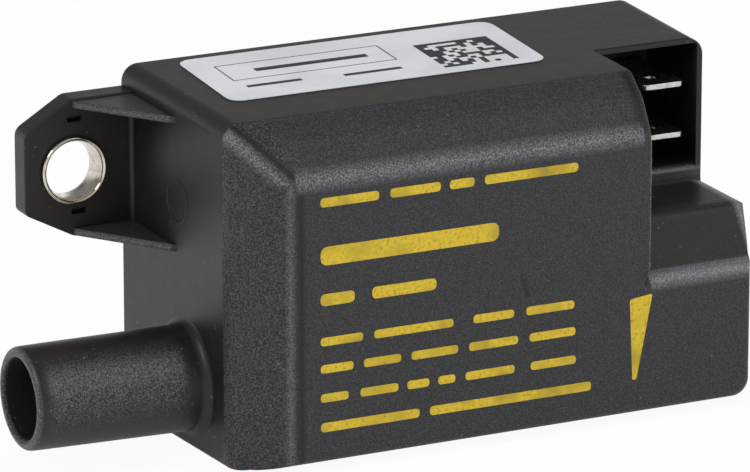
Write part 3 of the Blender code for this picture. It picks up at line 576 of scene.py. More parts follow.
@dataclass(frozen=True)
class BlackPolyamide:
    """Moulded glass-filled polyamide, black: spark-eroded grain on the front, satin skin behind it, painted
    highlights along edges and painted shade beside some edges and in the bore.
    """

    # sizes in mm
    grain: float = 0.23         # between the tops of the spark-eroded grain, drawn coarse enough to show
    fill: float = 2.6           # clouds where the glass fill comes near the skin
    sparkle: float = 0.2        # between the bright dots of a painted edge highlight
    speck: float = 0.6          # between the small light specks painted as glints
    fine: float = 0.25          # between the ripples of the plain skin
    depth: float = 0.07         # from the valleys of the grain to its tops
    shoulder: float = 29.8      # depth where the grain starts
    coarse_end: float = 7.2     # the grain is sharper left of this
    block: tuple = (60.2, 20.4)             # the block's slanting face is right of and above this
    bay: float = 60.4                       # painted edge highlights right of this are less broken into dots
    grained_tube: tuple = (-21.8, -2.6, 8.0, 15.6)      # x and z limits of the grain on the tube
    socket: tuple = (19.1, 10.0, 5.6)       # depth and height of the tube's axis, radius of its bore
    # shares
    tops: float = 0.62          # of the grey that the tops of the grain take
    sharper: float = 0.32       # added to it where the grain is sharper
    calmer: float = 0.7         # of the grain that the block's slanting face lacks
    even: float = 0.44          # least share of the painted highlight dots right of bay
    # noise values between which a pattern rises, and what it gives at the lower and at the upper
    cloud_span: tuple = (0.3, 0.72)
    grain_span: tuple = (0.39, 0.66)
    dot_span: tuple = (0.42, 0.62, 0.16, 1.0)
    speck_span: tuple = (0.73, 0.79, 0.0, 0.35)
    cloud_sheen: tuple = (0.3, 0.7, 0.38, 0.44)         # roughness over the clouds
    grain_sheen: tuple = (0.4, 0.65, 0.1, -0.04)        # roughness that the grain adds
    bore_sheen: float = 0.4                             # roughness that the bore adds
    satin: str = "#1B1715"
    cloudy: str = "#211C1A"
    body: str = "#202022"
    valley: str = "#131315"
    grey: str = "#48484C"
    silver: str = "#5C5C60"
    glint_grey: str = "#8C8C8C"
    # painted highlight: the pale grey laid on the strips along the edges and on the tube's crown
    rubbed: str = "#9D9EA4"
    # painted shade: the near-black laid beside some edges and inside the bore
    dark: str = "#0B0B0C"
    # painted highlights, where light catches: front top, diagonal corner, block, left ridge, notch wall,
    # notch lip, tube mouth, crown of the tube, right edge of the block, sill of the bay and its face, two
    # gussets
    pale: tuple = (Edge((0, 1), 39.55, 1.8, 0.66, (8.3, 34.6, LOW), (59.0, HIGH, HIGH)),
                   Edge((1, 1), 46.3, 1.7, 0.6, (LOW, 29.9, 39.3), (8.6, HIGH, HIGH)),
                   Edge((0, 1), 19.25, 1.6, 0.76, (60.2, 34.2, LOW)),
                   Edge((1, 0), 7.6, 0.8, 0.36, (LOW, 34.8, 1.5), (HIGH, HIGH, 39.3)),
                   Edge((1, 0), 60.0, 0.25, 0.5, (LOW, 35.5, 20.0), (HIGH, HIGH, 38.6)),
                   Edge((1, 0), 60.15, 0.22, 0.5, (LOW, 31.6, 38.6)),
                   Edge((1, 0), -23.4, 0.6, 0.36),
                   Edge((0, 1), 13.5, 2.3, 0.16, (-21.8, 20.0, LOW), (-2.6, HIGH, HIGH)),
                   Edge((1, 0.24), 81.75, 1.1, 0.8, (72.0, 20.5, 20.2), (76.66, HIGH, 28.2)),
                   Edge((0, 1), 28.75, 0.55, 0.5, (61.0, 18.8, LOW), (HIGH, 21.0, HIGH)),
                   Edge((0, 1), 28.0, 1.8, 0.2, (61.0, 18.8, LOW), (HIGH, 21.0, HIGH)),
                   Edge((0, 1), 26.55, 0.65, 0.4, (LOW, 3.6, LOW), (-0.1, HIGH, HIGH)),
                   Edge((0, 1), 43.9, 0.65, 0.4, (LOW, 3.6, LOW), (-0.1, HIGH, HIGH)))
    # painted shade, darker: beside the left ridge, beside the corner, round the notch lip; and one scuff on
    # the front
    deep: tuple = (Edge((1, 0), 9.0, 0.9, 0.9, (LOW, 35.4, 1.5), (HIGH, HIGH, 38.4)),
                   Edge((1, 1), 48.5, 1.0, 0.9, (LOW, 29.9, 39.0), (9.5, HIGH, HIGH)),
                   Edge((1, 0), 58.9, 1.3, 0.9, (LOW, 29.9, 39.8)),
                   Edge((1, 0.3), 47.8, 0.6, 0.8, (40.4, 35.5, 19.8), (42.9, HIGH, 22.8)))

    def across(self, look: Finish, way: tuple, middle: float) -> Socket:
        """Distance from a plane.

        Args:
            look: material under construction.
            way: weights of x, u and z.
            middle: weighted sum on the plane, in millimetres.

        Returns:
            Weighted sum at the point less middle, in millimetres.
        """
        total = None
        for letter, weight in zip("XYZ", (way[0], -way[1], way[2])):
            if weight:
                part = look.maths("MULTIPLY", look.axis(letter), weight / MM)
                total = part if total is None else look.maths("ADD", total, part)
        shift = way[0] * X_MIDDLE + way[1] * U_MIDDLE
        return look.maths("ADD", total, shift - middle)

    def beyond(self, look: Finish, axis: int, at: float, soft: float = 0.3) -> Socket:
        """Share that rises from 0 to 1 over soft millimetres about a plane across axis 0, 1 or 2."""
        way = tuple(1.0 if i == axis else 0.0 for i in range(3))
        return look.ramp(self.across(look, way, at), -soft / 2, soft / 2)

    def strips(self, look: Finish, edges: tuple) -> Socket:
        """Strongest of several strips, each a ridge across its edge, kept between its low and high limits.

        Args:
            look: material under construction.
            edges: the edges.

        Returns:
            Share from 0 to 1.
        """
        total = None
        for edge in edges:
            way = (edge.way[0], 0.0, edge.way[1])
            distance = look.maths("ABSOLUTE", self.across(look, way, edge.middle))
            share = look.ramp(distance, edge.half, 0.0, 0.0, edge.strength)
            for axis, (low, high) in enumerate(zip(edge.low, edge.high)):
                if low > LOW:
                    share = look.product(share, self.beyond(look, axis, low))
                if high < HIGH:
                    share = look.product(share, look.rest(self.beyond(look, axis, high)))
            total = share if total is None else look.maths("MAXIMUM", total, share)
        return total

    def inside_tube(self, look: Finish) -> Socket:
        """Where the socket's bore is, which gets painted shade and a duller finish: within a radius of the
        tube's axis, left of the body.

        Args:
            look: material under construction.

        Returns:
            Share from 0 to 1.
        """
        centre = (0.0, (self.socket[0] - U_MIDDLE) * MM, -self.socket[1] * MM)
        place = node(look.tree, "ShaderNodeVectorMath", {"operation": "ADD"}, {0: look.place, 1: centre})
        flat = node(look.tree, "ShaderNodeVectorMath", {"operation": "MULTIPLY"},
                    {0: place.outputs[0], 1: (0.0, 1.0 / MM, 1.0 / MM)})
        distance = node(look.tree, "ShaderNodeVectorMath", {"operation": "LENGTH"}, {0: flat.outputs[0]})
        near = look.ramp(distance.outputs["Value"], self.socket[2] + 0.15, self.socket[2])
        return look.product(near, look.rest(self.beyond(look, 0, 0.2)))

    def grained(self, look: Finish) -> tuple[Socket, Socket]:
        """Where the surface is grained.

        Args:
            look: material under construction.

        Returns:
            Share of grain on the whole piece, and on the tube alone.
        """
        left, right, low, high = self.grained_tube
        tube = look.product(
            look.product(self.beyond(look, 0, left, 1.5), look.rest(self.beyond(look, 0, right, 1.5))),
            look.product(look.rest(self.beyond(look, 2, high, 2.4)), self.beyond(look, 2, low, 5.0)))
        block = look.product(self.beyond(look, 0, self.block[0]), self.beyond(look, 2, self.block[1], 0.8))
        front = self.beyond(look, 1, self.shoulder)
        front = look.product(front, look.rest(look.product(block, self.calmer)))
        return look.maths("MAXIMUM", front, tube), tube

    def make(self) -> bpy.types.Material:
        """Builds the material.

        Returns:
            Matt black with painted highlights along edges and on the tube's crown and painted shade beside
            some edges and in the bore, grained in front of the shoulder line and round the middle of the
            tube, more faintly on the block's slanting face.
        """
        look = Finish("black_polyamide", Specular_IOR_Level=0.42)
        grained, tube = self.grained(look)
        bore = self.inside_tube(look)
        sparks = look.noise(self.grain, 1.0, 0.5)
        clouds = look.noise(self.fill, 3.0, 0.6)

        tone = look.blend(look.ramp(clouds, *self.cloud_span), self.satin, self.cloudy)
        sharp = look.rest(self.beyond(look, 0, self.coarse_end, 0.5))
        tone = look.blend(grained, tone, look.blend(sharp, self.body, self.valley))
        share = look.maths("ADD", self.tops, look.product(sharp, self.sharper))
        peaks = look.product(look.ramp(sparks, *self.grain_span), look.product(grained, share))
        tone = look.blend(peaks, tone, look.blend(tube, self.grey, self.silver))
        # painted shade beside some edges and inside the bore, with one scuff on the front
        deep = look.maths("MAXIMUM", self.strips(look, self.deep), bore)
        tone = look.blend(deep, tone, self.dark)
        # painted highlights: pale strips along the edges and on the tube's crown, broken into bright dots
        dots = look.ramp(look.noise(self.sparkle, 1.0, 0.5), *self.dot_span)
        dots = look.maths("MAXIMUM", dots, look.product(self.beyond(look, 0, self.bay), self.even))
        tone = look.blend(look.product(self.strips(look, self.pale), dots), tone, self.rubbed)
        # painted glints: small light specks over the whole moulding
        specks = look.ramp(look.noise(self.speck, 1.0, 0.5), *self.speck_span)
        look.colour(look.blend(specks, tone, self.glint_grey))

        skin = look.maths("ADD", look.ramp(clouds, *self.cloud_sheen),
                          look.product(grained, look.ramp(sparks, *self.grain_sheen)))
        look.roughness(look.maths("ADD", skin, look.product(bore, self.bore_sheen)))
        ripple = look.product(look.noise(self.fine, 2.0, 0.6), 0.06)
        height = look.product(sparks, look.maths("ADD", look.product(grained, 0.9), 0.05))
        look.relief(look.maths("ADD", height, ripple), self.depth)
        return look.material


@dataclass(frozen=True)
class NickelPlate:
    """Bright nickel over pressed steel: warm grey, faint turning marks and a few tarnished clouds."""

    bright: str = "#D9D1C6"
    tarnish: str = "#A8988A"

    def make(self) -> bpy.types.Material:
        """Builds the material.

        Returns:
            Polished metal with fine rings from the press tool.
        """
        look = Finish("bright_nickel", Metallic=1.0)
        clouds = look.noise(1.8, 4.0, 0.6)
        look.colour(look.blend(look.ramp(clouds, 0.5, 0.8), self.bright, self.tarnish))
        marks = look.noise(0.12, 2.0, 0.5, (0.15, 1.0, 0.15))
        look.roughness(look.ramp(marks, 0.3, 0.7, 0.09, 0.16))
        look.relief(marks, 0.002)
        return look.material


@dataclass(frozen=True)
class TinnedBrass:
    """Hot-tinned brass strip: silver-white, soft rolling lines and small dull spots."""

    tin: str = "#D5D4D0"
    dull: str = "#9C9A93"

    def make(self) -> bpy.types.Material:
        """Builds the material.

        Returns:
            Satin metal with its rolling lines along the tab.
        """
        look = Finish("tinned_brass", Metallic=1.0)
        spots = look.noise(0.9, 3.0, 0.6)
        look.colour(look.blend(look.ramp(spots, 0.5, 0.8), self.tin, self.dull))
        lines = look.noise(0.16, 2.0, 0.5, (1.0, 0.08, 1.0))
        look.roughness(look.ramp(lines, 0.3, 0.7, 0.22, 0.36))
        look.relief(lines, 0.008)
        return look.material


@dataclass(frozen=True)
class LabelFilm:
    """White polyester film: satin, a little grey, with faint ripples where it was rubbed down."""

    film: str = "#D3D5DA"
    handled: str = "#C4C6CB"

    def make(self) -> bpy.types.Material:
        """Builds the material.

        Returns:
            Satin white film.
        """
        look = Finish("white_polyester_film", Specular_IOR_Level=0.4)
        clouds = look.noise(9.0, 3.0, 0.55)
        look.colour(look.blend(look.ramp(clouds, 0.4, 0.75), self.film, self.handled))
        look.roughness(look.ramp(look.noise(1.4, 2.0), 0.3, 0.7, 0.42, 0.52))
        look.relief(look.noise(3.5, 2.0, 0.4), 0.02)
        return look.material


@dataclass(frozen=True)
class PadInk:
    """Pad-printed ink: thin and matt, worn where the grain below stands up."""

    name: str
    fresh: str
    worn: str
    wear: float = 0.35

    def make(self) -> bpy.types.Material:
        """Builds the material.

        Returns:
            Ink with a mottle at the pitch of the grain below.
        """
        look = Finish(self.name, Specular_IOR_Level=0.3)
        mottle = look.ramp(look.noise(0.5, 2.0, 0.6), 0.48, 0.72, 0.0, self.wear)
        patches = look.ramp(look.noise(4.0, 2.0, 0.5), 0.45, 0.75, 0.0, self.wear)
        worn = look.maths("MAXIMUM", mottle, patches)
        look.colour(look.blend(worn, self.fresh, self.worn))
        look.roughness(look.ramp(mottle, 0.0, 1.0, 0.5, 0.7))
        look.relief(look.noise(0.42, 2.0, 0.6), 0.03)
        return look.material


@dataclass(frozen=True)
class CastResin:
    """Filled epoxy poured from the back: near-black, half gloss, with flow rings and pinholes."""

    resin: str = "#17181A"
    filler: str = "#2B2B2C"

    def make(self) -> bpy.types.Material:
        """Builds the material.

        Returns:
            Half-gloss resin.
        """
        look = Finish("cast_epoxy", Specular_IOR_Level=0.5)
        swirl = look.noise(7.0, 4.0, 0.65)
        look.colour(look.blend(look.ramp(swirl, 0.35, 0.75), self.resin, self.filler))
        look.roughness(look.ramp(swirl, 0.3, 0.7, 0.22, 0.38))
        pits = look.ramp(look.noise(1.3, 1.0, 0.4), 0.28, 0.2, 0.0, -0.6)
        look.relief(look.maths("ADD", look.maths("MULTIPLY", swirl, 0.7), pits), 0.12)
        return look.material


class Pattern(Enum):
    """Surface pattern of a hidden piece."""

    SPECKLE = "speckle"
    TURNS = "turns"
    WEAVE = "weave"
    BANDS = "bands"


@dataclass(frozen=True)
class HiddenFinish:
    """Plain finish of a piece inside the moulding: two tones, a pattern of a real size and a roughness."""

    name: str
    tone: str
    second: str
    size: float
    rough: float
    metallic: float = 0.0
    pattern: Pattern = Pattern.SPECKLE

    def make(self) -> bpy.types.Material:
        """Builds the material.

        Returns:
            Speckle, wire turns or bands along the length, or a glass weave.
        """
        look = Finish(self.name, Metallic=self.metallic)
        fine = look.noise(self.size, 3.0, 0.6)
        share = look.ramp(fine, 0.42, 0.7)
        height = fine
        if self.pattern in (Pattern.TURNS, Pattern.BANDS):
            share = height = look.wave(self.size, "X", 0.4)
            if self.pattern is Pattern.BANDS:
                share = look.ramp(height, 0.86, 0.9)
        elif self.pattern is Pattern.WEAVE:
            share = height = look.product(look.wave(self.size, "X"), look.wave(self.size, "Y"))
        look.colour(look.blend(share, self.tone, self.second))
        look.roughness(look.ramp(fine, 0.3, 0.7, self.rough - 0.05, self.rough + 0.05))
        look.relief(height, self.size * 0.12)
        return look.material


@dataclass
class Moulding:
    """The one-piece black moulding: body, connector bay, socket tube, fixing lug and potting cavity (mm)."""

    length: float = 76.7
    height: float = BODY_HEIGHT
    depth: float = BODY_DEPTH
    draft: float = DRAFT
    right_draft: float = 0.0195
    wall: float = 1.8
    shoulder: float = 29.7
    inset: float = 8.2
    # three curves over the share of the way from the shoulder to the front: share of the inset that the
    # top and left have moved in, millimetres that the right and underside have, factor on the radii
    roll: tuple = ((0, 0), (0.12, 0.03), (0.24, 0.073), (0.464, 0.205), (0.592, 0.30), (0.70, 0.43),
                   (0.80, 0.57), (0.896, 0.735), (0.955, 0.86), (0.985, 0.95), (1.0, 1.03))
    far_roll: tuple = ((0, 0), (0.46, 0), (0.592, 0.06), (0.70, 0.16), (0.80, 0.3), (0.896, 0.52),
                       (0.955, 0.78), (0.985, 1.0), (1.0, 1.35))
    shrink: tuple = ((0, 1), (0.24, 1), (0.464, 0.95), (0.7, 0.8), (0.896, 0.6), (1.0, 0.45))
    radii: tuple = (2.45, 2.3, 0.5, 2.5)        # top right, top left, bottom left, bottom right
    corner_steps: int = 11
    foot_fade: float = 0.12                     # share of the roll-over in which the foot runs out
    foot_depth: float = 32.7
    foot_height: float = 9.0
    foot_radius: float = 1.9
    bay_left: float = 59.75
    notch_lean: float = 0.4
    opening: float = 20.0
    bay_floor: float = 6.5
    bay_wall: float = 0.95
    sill: float = 29.25
    block: float = 27.3
    ledge: float = 20.25
    block_face: float = 32.6
    block_edge: tuple = (2.1, 0.55)             # width and fall of its softened right edge
    past: float = 6.0                           # reach of the notch's cutter past the body
    tube_length: float = 23.5
    tube_radius: float = 6.85
    tube_bore: float = 5.4
    tube_draft: float = 0.0085
    tube_axis: tuple = (19.1, 9.8)
    tube_rise: float = 0.017
    tube_fillet: float = 1.35
    lug_thickness: float = 3.4
    lug_reach: float = 15.45
    lug_rise: float = 9.72
    lug_fall: float = 9.08
    lug_shoulder: float = 8.75
    lug_slants: tuple = (4.05, 3.75, 0.35)      # height of its upper and lower corner cut, lean of its foot
    lug_radii: tuple = (0.5, 0.5, 0.95, 0.7, 0.5, 0.5)
    pocket: tuple = (0.9, 0.3, 0.2)             # half length, half height and radius of a pocket in its face
    pocket_mouth: tuple = (1.25, 1.5)           # factors on its length and height at the face
    gusset: float = 1.0
    gusset_depth: float = 16.3
    gusset_start: float = 1.6                   # inside the left wall
    root_fillet: float = 0.6
    eye_radius: float = 4.45
    ring_at: tuple = (16.5, 33.1)
    slot: tuple = ((67.4, 74.3), (3.7, 7.5), 0.7)       # x and u limits of a tab slot, half its height
    passage: float = 1.1                                # radius of the way into the bore
    # softened edges, as points from the corner that each one takes the place of
    nose: tuple = ((-2.4, 0.0), (-1.5, -0.01), (-0.75, -0.13), (-0.2, -0.5), (0.14, -1.3))
    step: tuple = ((-1.94, 0.35), (-1.9, 0.15), (-1.6, -0.05), (-1.1, -0.35), (-0.55, -0.85), (-0.2, -1.45),
                   (0.0, -2.2))
    bay_flare: tuple = ((-1.0, 0.0), (-0.6, 0.05), (-0.3, 0.2), (-0.1, 0.42), (0.06, 0.8))
    tube_mouth: tuple = ((0.0, -0.95), (0.03, -0.62), (0.17, -0.33), (0.42, -0.12), (0.75, -0.03), (1.2, 0.0))
    bore_mouth: tuple = ((-2.0, 0.45), (-0.02, 0.45), (0.1, 0.2), (0.32, 0.05), (0.6, 0.0))
    # fall of the block's edge over its width, both as shares
    bow: tuple = ((0.0, 0.0), (0.3, 0.07), (0.62, 0.3), (0.85, 0.64), (1.0, 1.0))
    # width and height of the notch's rounded lip over the way past the shoulder
    lip_width: tuple = ((-3.0, 0.3), (0.0, 0.5), (0.8, 1.7), (4.0, 1.5), (8.0, 0.45), (26.0, 0.3))
    lip_height: tuple = ((-3.0, 0.12), (0.0, 0.2), (1.0, 0.6), (4.0, 0.6), (8.0, 0.3), (26.0, 0.25))
    # height above the left end and radius of the raised ring's section
    ring: tuple = ((-0.4, 2.64), (0.06, 2.68), (0.11, 2.78), (0.11, 2.98), (0.06, 3.08), (-0.4, 3.12))

    def top(self, u: float | np.ndarray) -> float | np.ndarray:
        """Height of the drafted top face at a depth."""
        return self.height - self.draft * u

    def right(self, u: float) -> float:
        """Position of the drafted right end at a depth."""
        return self.length - self.right_draft * u

    def shell(self) -> bpy.types.Object:
        """Outer body as a surface of two parameters: ring number and place on the rounded rectangle.

        Formula: ring r lies at depth u(r). Its rectangle is inset by draft times u, and past the shoulder
        its top and left move in by the roll-over curve. Near the underside the left edge turns into a
        squarer foot, by the shift from the roll-over to the foot's corner times a smooth fall over the
        foot's height.

        Returns:
            The closed body.
        """
        run = self.depth - self.shoulder
        share = 1.0 - (1.0 - np.linspace(0.0, 1.0, 40)) ** 1.6
        flat = np.linspace(0.0, self.shoulder, 5)[:-1]
        u = np.concatenate([flat, self.shoulder + run * share])
        s = np.concatenate([np.zeros(len(flat)), share])
        inset, small, factor = (through(rows, s) for rows in (self.roll, self.far_roll, self.shrink))
        d = self.draft * u
        x0, x1 = d + inset * self.inset, self.length - self.right_draft * u - small
        z0, z1 = d + small, self.top(u) - inset * self.inset
        others = 1.0 - 0.2 * (1.0 - factor)
        corners = ((x1, z1, -1, -1, 0, self.radii[0] * others), (x0, z1, 1, -1, 90, self.radii[1] * factor),
                   (x0, z0, 1, 1, 180, self.radii[2] * others), (x1, z0, -1, 1, 270, self.radii[3] * others))
        turn = np.linspace(0.0, 90.0, self.corner_steps)[None]
        pieces = []
        for cx, cz, sx, sz, start, r in corners:
            angle = np.radians(start + turn)
            r = r[:, None]
            pieces.append(np.stack([cx[:, None] + sx * r + r * np.cos(angle),
                                    cz[:, None] + sz * r + r * np.sin(angle)], -1))
        fall = 1.0 - np.linspace(0.0, 1.0, 42)[1:-1] ** 0.6
        upper, lower = pieces[1][:, -1:], pieces[2][:, :1]
        side = lower + (upper - lower) * fall[None, :, None]
        flat_ring = np.concatenate([pieces[0], pieces[1], side, pieces[2], pieces[3]], 1)
        rings = np.insert(flat_ring, 1, np.broadcast_to(u[:, None], flat_ring.shape[:2]), axis=2)

        meet = (self.foot_depth - self.shoulder) / run
        q = np.clip(s / meet, 0.0, 1.0)
        r = self.foot_radius
        straight, around = self.foot_depth - r - self.shoulder, r * np.pi / 2
        path = q * (straight + around)
        angle = np.clip((path - straight) / around, 0.0, 1.0) * np.pi / 2
        foot_x = d + r * (1.0 - np.cos(angle))
        foot_u = self.shoulder + np.minimum(path, straight) + r * np.sin(angle)
        fade = np.where(s <= meet, 1.0, np.clip(1.0 - (s - meet) / self.foot_fade, 0.0, 1.0) ** 2)
        shift_x = np.where(s > 0, foot_x - x0, 0.0) * fade
        shift_u = np.where(s > 0, foot_u - u, 0.0) * fade
        z = rings[..., 2]
        weight = np.clip(1.0 - z / self.foot_height, 0.0, 1.0)
        weight = weight * weight * (3.0 - 2.0 * weight)
        left = np.zeros(rings.shape[1])
        left[self.corner_steps:3 * self.corner_steps + len(fall)] = 1.0
        rings[..., 0] += shift_x[:, None] * weight * left
        rings[..., 1] += shift_u[:, None] * weight * left
        return loft("moulded_housing", rings)

    def cut_notch(self, body: bpy.types.Object) -> None:
        """Takes away the corner above the lower right block and softens the block's edges.

        Args:
            body: the moulding so far.
        """
        beyond, above = self.depth + self.past, self.height + self.past
        ledge, side, top = self.ledge, self.block_face, self.block
        nose = curve(np.add(self.nose, (side, top)), 14)
        step = curve(np.add(self.step, (self.depth, ledge)), 18)
        around = [(beyond, ledge + self.step[-1][1]), (beyond, above), (self.opening, above)]
        profile = np.concatenate([[(self.opening, top)], nose, step, around])
        u = profile[:, 0]
        near = self.notch_wall(u)
        rings = [np.insert(profile, 0, x, axis=1) for x in (near, self.length + self.past)]
        combine(body, loft("notch", np.stack(rings)), Cut.REMOVE)

        self.round_lip(body)
        right = self.right(self.opening)
        bow = curve(self.bow, 12)
        width, fall = self.block_edge
        bowed = np.stack([right - width * (1.0 - bow[:, 0]), top + 0.01 - fall * bow[:, 1]], -1)
        outline = np.concatenate([[(right + 3.0, top + 1.0), (right - width - 1.0, top + 1.0),
                                   (right - width - 0.4, top + 0.01)], bowed,
                                  [(right + 3.0, top - 1.5 * fall)]])
        combine(body, plate("edge", outline, self.opening + 0.05, side + 0.6, Along.DEPTH), Cut.REMOVE)
        lean = (self.depth - 1.9 - side - 0.12) / 5.6
        rings = []
        for z, depth, size in ((ledge + 0.15, self.depth - 1.9, 0.04),
                               (top + 1.0, side + 0.12 - lean * 2.3, 1.2)):
            end = self.right(depth) - 0.2
            w, f = width * size, fall * size
            bowed = np.stack([end - w * (1.0 - bow[:, 0]), depth + 0.01 - f * bow[:, 1]], -1)
            flat = np.concatenate([[(end + 3.0, depth + 1.0), (end - w - 0.6, depth + 1.0)], bowed,
                                   [(end + 3.0, depth - 1.5 * f)]])
            rings.append(np.insert(flat, 2, z, axis=1))
        combine(body, loft("corner", np.stack(rings)), Cut.REMOVE)

        edge = self.bay_left + 0.36
        corners = np.array([(edge + 0.1, self.depth - 1.7, ledge + 0.2),
                            (edge - 1.3, self.depth + 0.4, ledge - 1.9),
                            (edge + 0.1, self.depth + 0.4, ledge + 1.6),
                            (edge + 1.2, self.depth + 0.6, ledge - 1.9)])
        combine(body, new_object("run_out", corners, [(0, 1, 2), (0, 2, 3), (0, 3, 1), (1, 3, 2)]),
                Cut.REMOVE)

    def notch_wall(self, u: np.ndarray) -> np.ndarray:
        """Position of the notch's leaning wall at a depth."""
        return self.bay_left + self.notch_lean * (u - self.opening) / (self.depth - self.opening)

    def round_lip(self, body: bpy.types.Object) -> None:
        """Rounds the corner between the rolled-over front and the wall of the notch.

        Formula: the outer corner of a quarter ellipse, width by height, follows the roll-over's curve and
        then the front face down to the ledge; its size changes along the way.

        Args:
            body: the moulding so far.
        """
        run, s = self.depth - self.shoulder, np.linspace(0.0, 1.0, 34)
        u = np.concatenate([[self.shoulder - 3.0, self.shoulder - 1.0], self.shoulder + run * s,
                            np.full(3, self.depth)])
        drop = np.concatenate([[0.0, 0.0], through(self.roll, s) * self.inset, [9.6, 13.0, 25.6]])
        z = self.top(u) - drop
        way = np.stack([np.gradient(u), np.gradient(z)], -1)
        way /= np.linalg.norm(way, axis=1, keepdims=True)
        out = np.stack([-way[:, 1], way[:, 0]], -1)
        along = np.where(drop > 0, drop, u - self.shoulder)
        width, height = (through(rows, along)[:, None] for rows in (self.lip_width, self.lip_height))
        near = self.notch_wall(u)[:, None]
        t = np.linspace(0.0, np.pi / 2, 9)[None]
        x = np.concatenate([near - width * (1.0 - np.sin(t)), near + 0.4, near + 0.4, near - width], 1)
        lift = np.concatenate([0.01 - height * (1.0 - np.cos(t)), -height, np.full_like(near, 0.5),
                               np.full_like(near, 0.5)], 1)
        rings = np.stack([x, u[:, None] + out[:, :1] * lift, z[:, None] + out[:, 1:] * lift], -1)
        combine(body, loft("lip", rings), Cut.REMOVE)

    def cut_bay(self, body: bpy.types.Object) -> None:
        """Hollows the connector bay with softened corners and mouth.

        Args:
            body: the moulding so far.
        """
        x0, x1 = self.bay_left + 1.0, self.right(self.opening) - self.bay_wall
        roof = self.top(self.opening) - self.bay_wall
        front = self.opening
        flare = curve(np.add(self.bay_flare, (front, 0.0)), 8)
        stations = [(self.bay_floor, 0.0), *flare]
        rings = []
        for u, open_by in stations:
            corners = rectangle((x0, x1 + 0.25 * open_by), (self.sill - open_by, roof + 0.35 * open_by))
            rings.append(np.insert(soft_corners(corners, 0.45), 1, u, axis=1))
        combine(body, loft("bay", np.stack(rings)), Cut.REMOVE)
        top = self.top(front)
        rim = arc(front - 0.5, top - 0.49, 0.51, 88.0, -88.0, 9)
        outside = [(front + 1.0, top - 0.5), (front + 1.0, top + 1.0), (front - 0.55, top + 1.0)]
        outline = np.concatenate([[(front - 0.55, top + 0.03)], rim, outside])
        combine(body, plate("roof_edge", outline, self.bay_left + 0.02, self.length + 2.0, Along.LENGTH),
                Cut.REMOVE)

    def socket_ring(self, x: np.ndarray, radius: np.ndarray, lean: float = 0.0) -> np.ndarray:
        """Circles round the rising axis of the tube, tilted where lean is given.

        Args:
            x: position of each circle.
            radius: radius of each circle.
            lean: shift of x over the depth.

        Returns:
            Array of circles by points by (x, u, z).
        """
        angle = np.linspace(0.0, ROUND, 96, endpoint=False)[None]
        x, radius = np.atleast_1d(x)[:, None], np.atleast_1d(radius)[:, None]
        c, s = np.cos(angle), np.sin(angle)
        return np.stack([x + lean * radius * c, self.tube_axis[0] + radius * c,
                         self.tube_axis[1] - self.tube_rise * x + radius * s], -1)

    def add_tube(self, body: bpy.types.Object) -> None:
        """Joins the socket tube with its rounded mouth and its concave root.

        Args:
            body: the moulding so far.
        """
        tip, r = -self.tube_length, self.tube_radius
        face = self.draft * self.tube_axis[0]
        root = r + self.tube_draft * self.tube_length
        mouth = curve(np.add(self.tube_mouth, (tip, r)), 12)
        length = np.linspace(tip + 3.0, -self.tube_fillet - 0.4, 8)
        barrel = np.stack([length, r + self.tube_draft * (length - tip)], -1)
        t = np.radians(np.linspace(0.0, 90.0, 12))
        fillet = np.stack([face + 0.03 - self.tube_fillet * (1.0 - np.sin(t)),
                           root + self.tube_fillet * (1.0 - np.cos(t))], -1)
        profile = np.concatenate([mouth, barrel])
        rings = [self.socket_ring(profile[:, 0], profile[:, 1]),
                 self.socket_ring(fillet[:, 0], fillet[:, 1], self.draft),
                 self.socket_ring(np.array([face + 1.0]), np.array([root + self.tube_fillet]), self.draft)]
        combine(body, loft("tube", np.concatenate(rings)), Cut.JOIN)

    def add_lug(self, body: bpy.types.Object) -> None:
        """Joins the fixing lug, its two gussets and the small fillet at its root, then bores it.

        Args:
            body: the moulding so far.
        """
        inside = self.wall * 0.6
        low, high = EYE_HEIGHT - self.lug_fall, EYE_HEIGHT + self.lug_rise
        reach, shoulder, thick = self.lug_reach, self.lug_shoulder, self.lug_thickness
        upper, lower, slant = self.lug_slants
        corners = [(inside, high), (-shoulder, high), (-reach, high - upper), (-reach, low + lower),
                   (-shoulder + slant, low), (inside, low)]
        outline = soft_corners(corners, self.lug_radii)
        combine(body, plate("lug", outline, 0.0, thick, Along.DEPTH, 0.22), Cut.JOIN)
        foot, end, deep = -shoulder + 0.05, self.draft * self.gusset_depth, self.gusset_start
        slope = (self.gusset_depth - thick - 0.05) / (end - foot)
        bases = (low + 0.2, high - 0.25 - self.gusset)
        for base in bases:
            web = soft_corners([(deep, thick - 0.8), (foot, thick - 0.8), (foot, thick + 0.05),
                                (deep, self.gusset_depth + slope * (deep - end))], (0.35, 0.35, 0.4, 1.0), 5)
            combine(body, plate("gusset", web, base, base + self.gusset, Along.HEIGHT, 0.16), Cut.JOIN)
        root = self.root_fillet
        hollow = arc(-root + self.draft * thick, thick + root + 0.01, root, -90.0, 90.0, 10)
        corner = np.concatenate([[(inside, thick - 0.5), (-root, thick - 0.5)], hollow,
                                 [(inside, thick + root + 0.01)]])
        combine(body, plate("lug_root", corner, bases[0] + 0.5, bases[1] + 0.5, Along.HEIGHT), Cut.JOIN)
        combine(body, turned("eye", [(-2.0, self.eye_radius), (thick + 2.0, self.eye_radius)],
                             (-EYE_REACH, EYE_HEIGHT), Along.DEPTH, 72, closed=False), Cut.REMOVE)
        half, tall, radius = self.pocket
        for x, z in ((-8.25, bases[1] - 1.5), (-7.8, bases[0] + self.gusset + 2.3)):
            scoop = soft_corners(rectangle((x - half, x + half), (z - tall, z + tall)), radius)
            mouth = (scoop - (x, z)) * self.pocket_mouth + (x, z)
            rings = [np.insert(flat, 1, thick + lift, axis=1)
                     for flat, lift in ((scoop, -1.2), (scoop, -0.4), (mouth, 0.05))]
            combine(body, loft("pocket", np.stack(rings)), Cut.REMOVE)

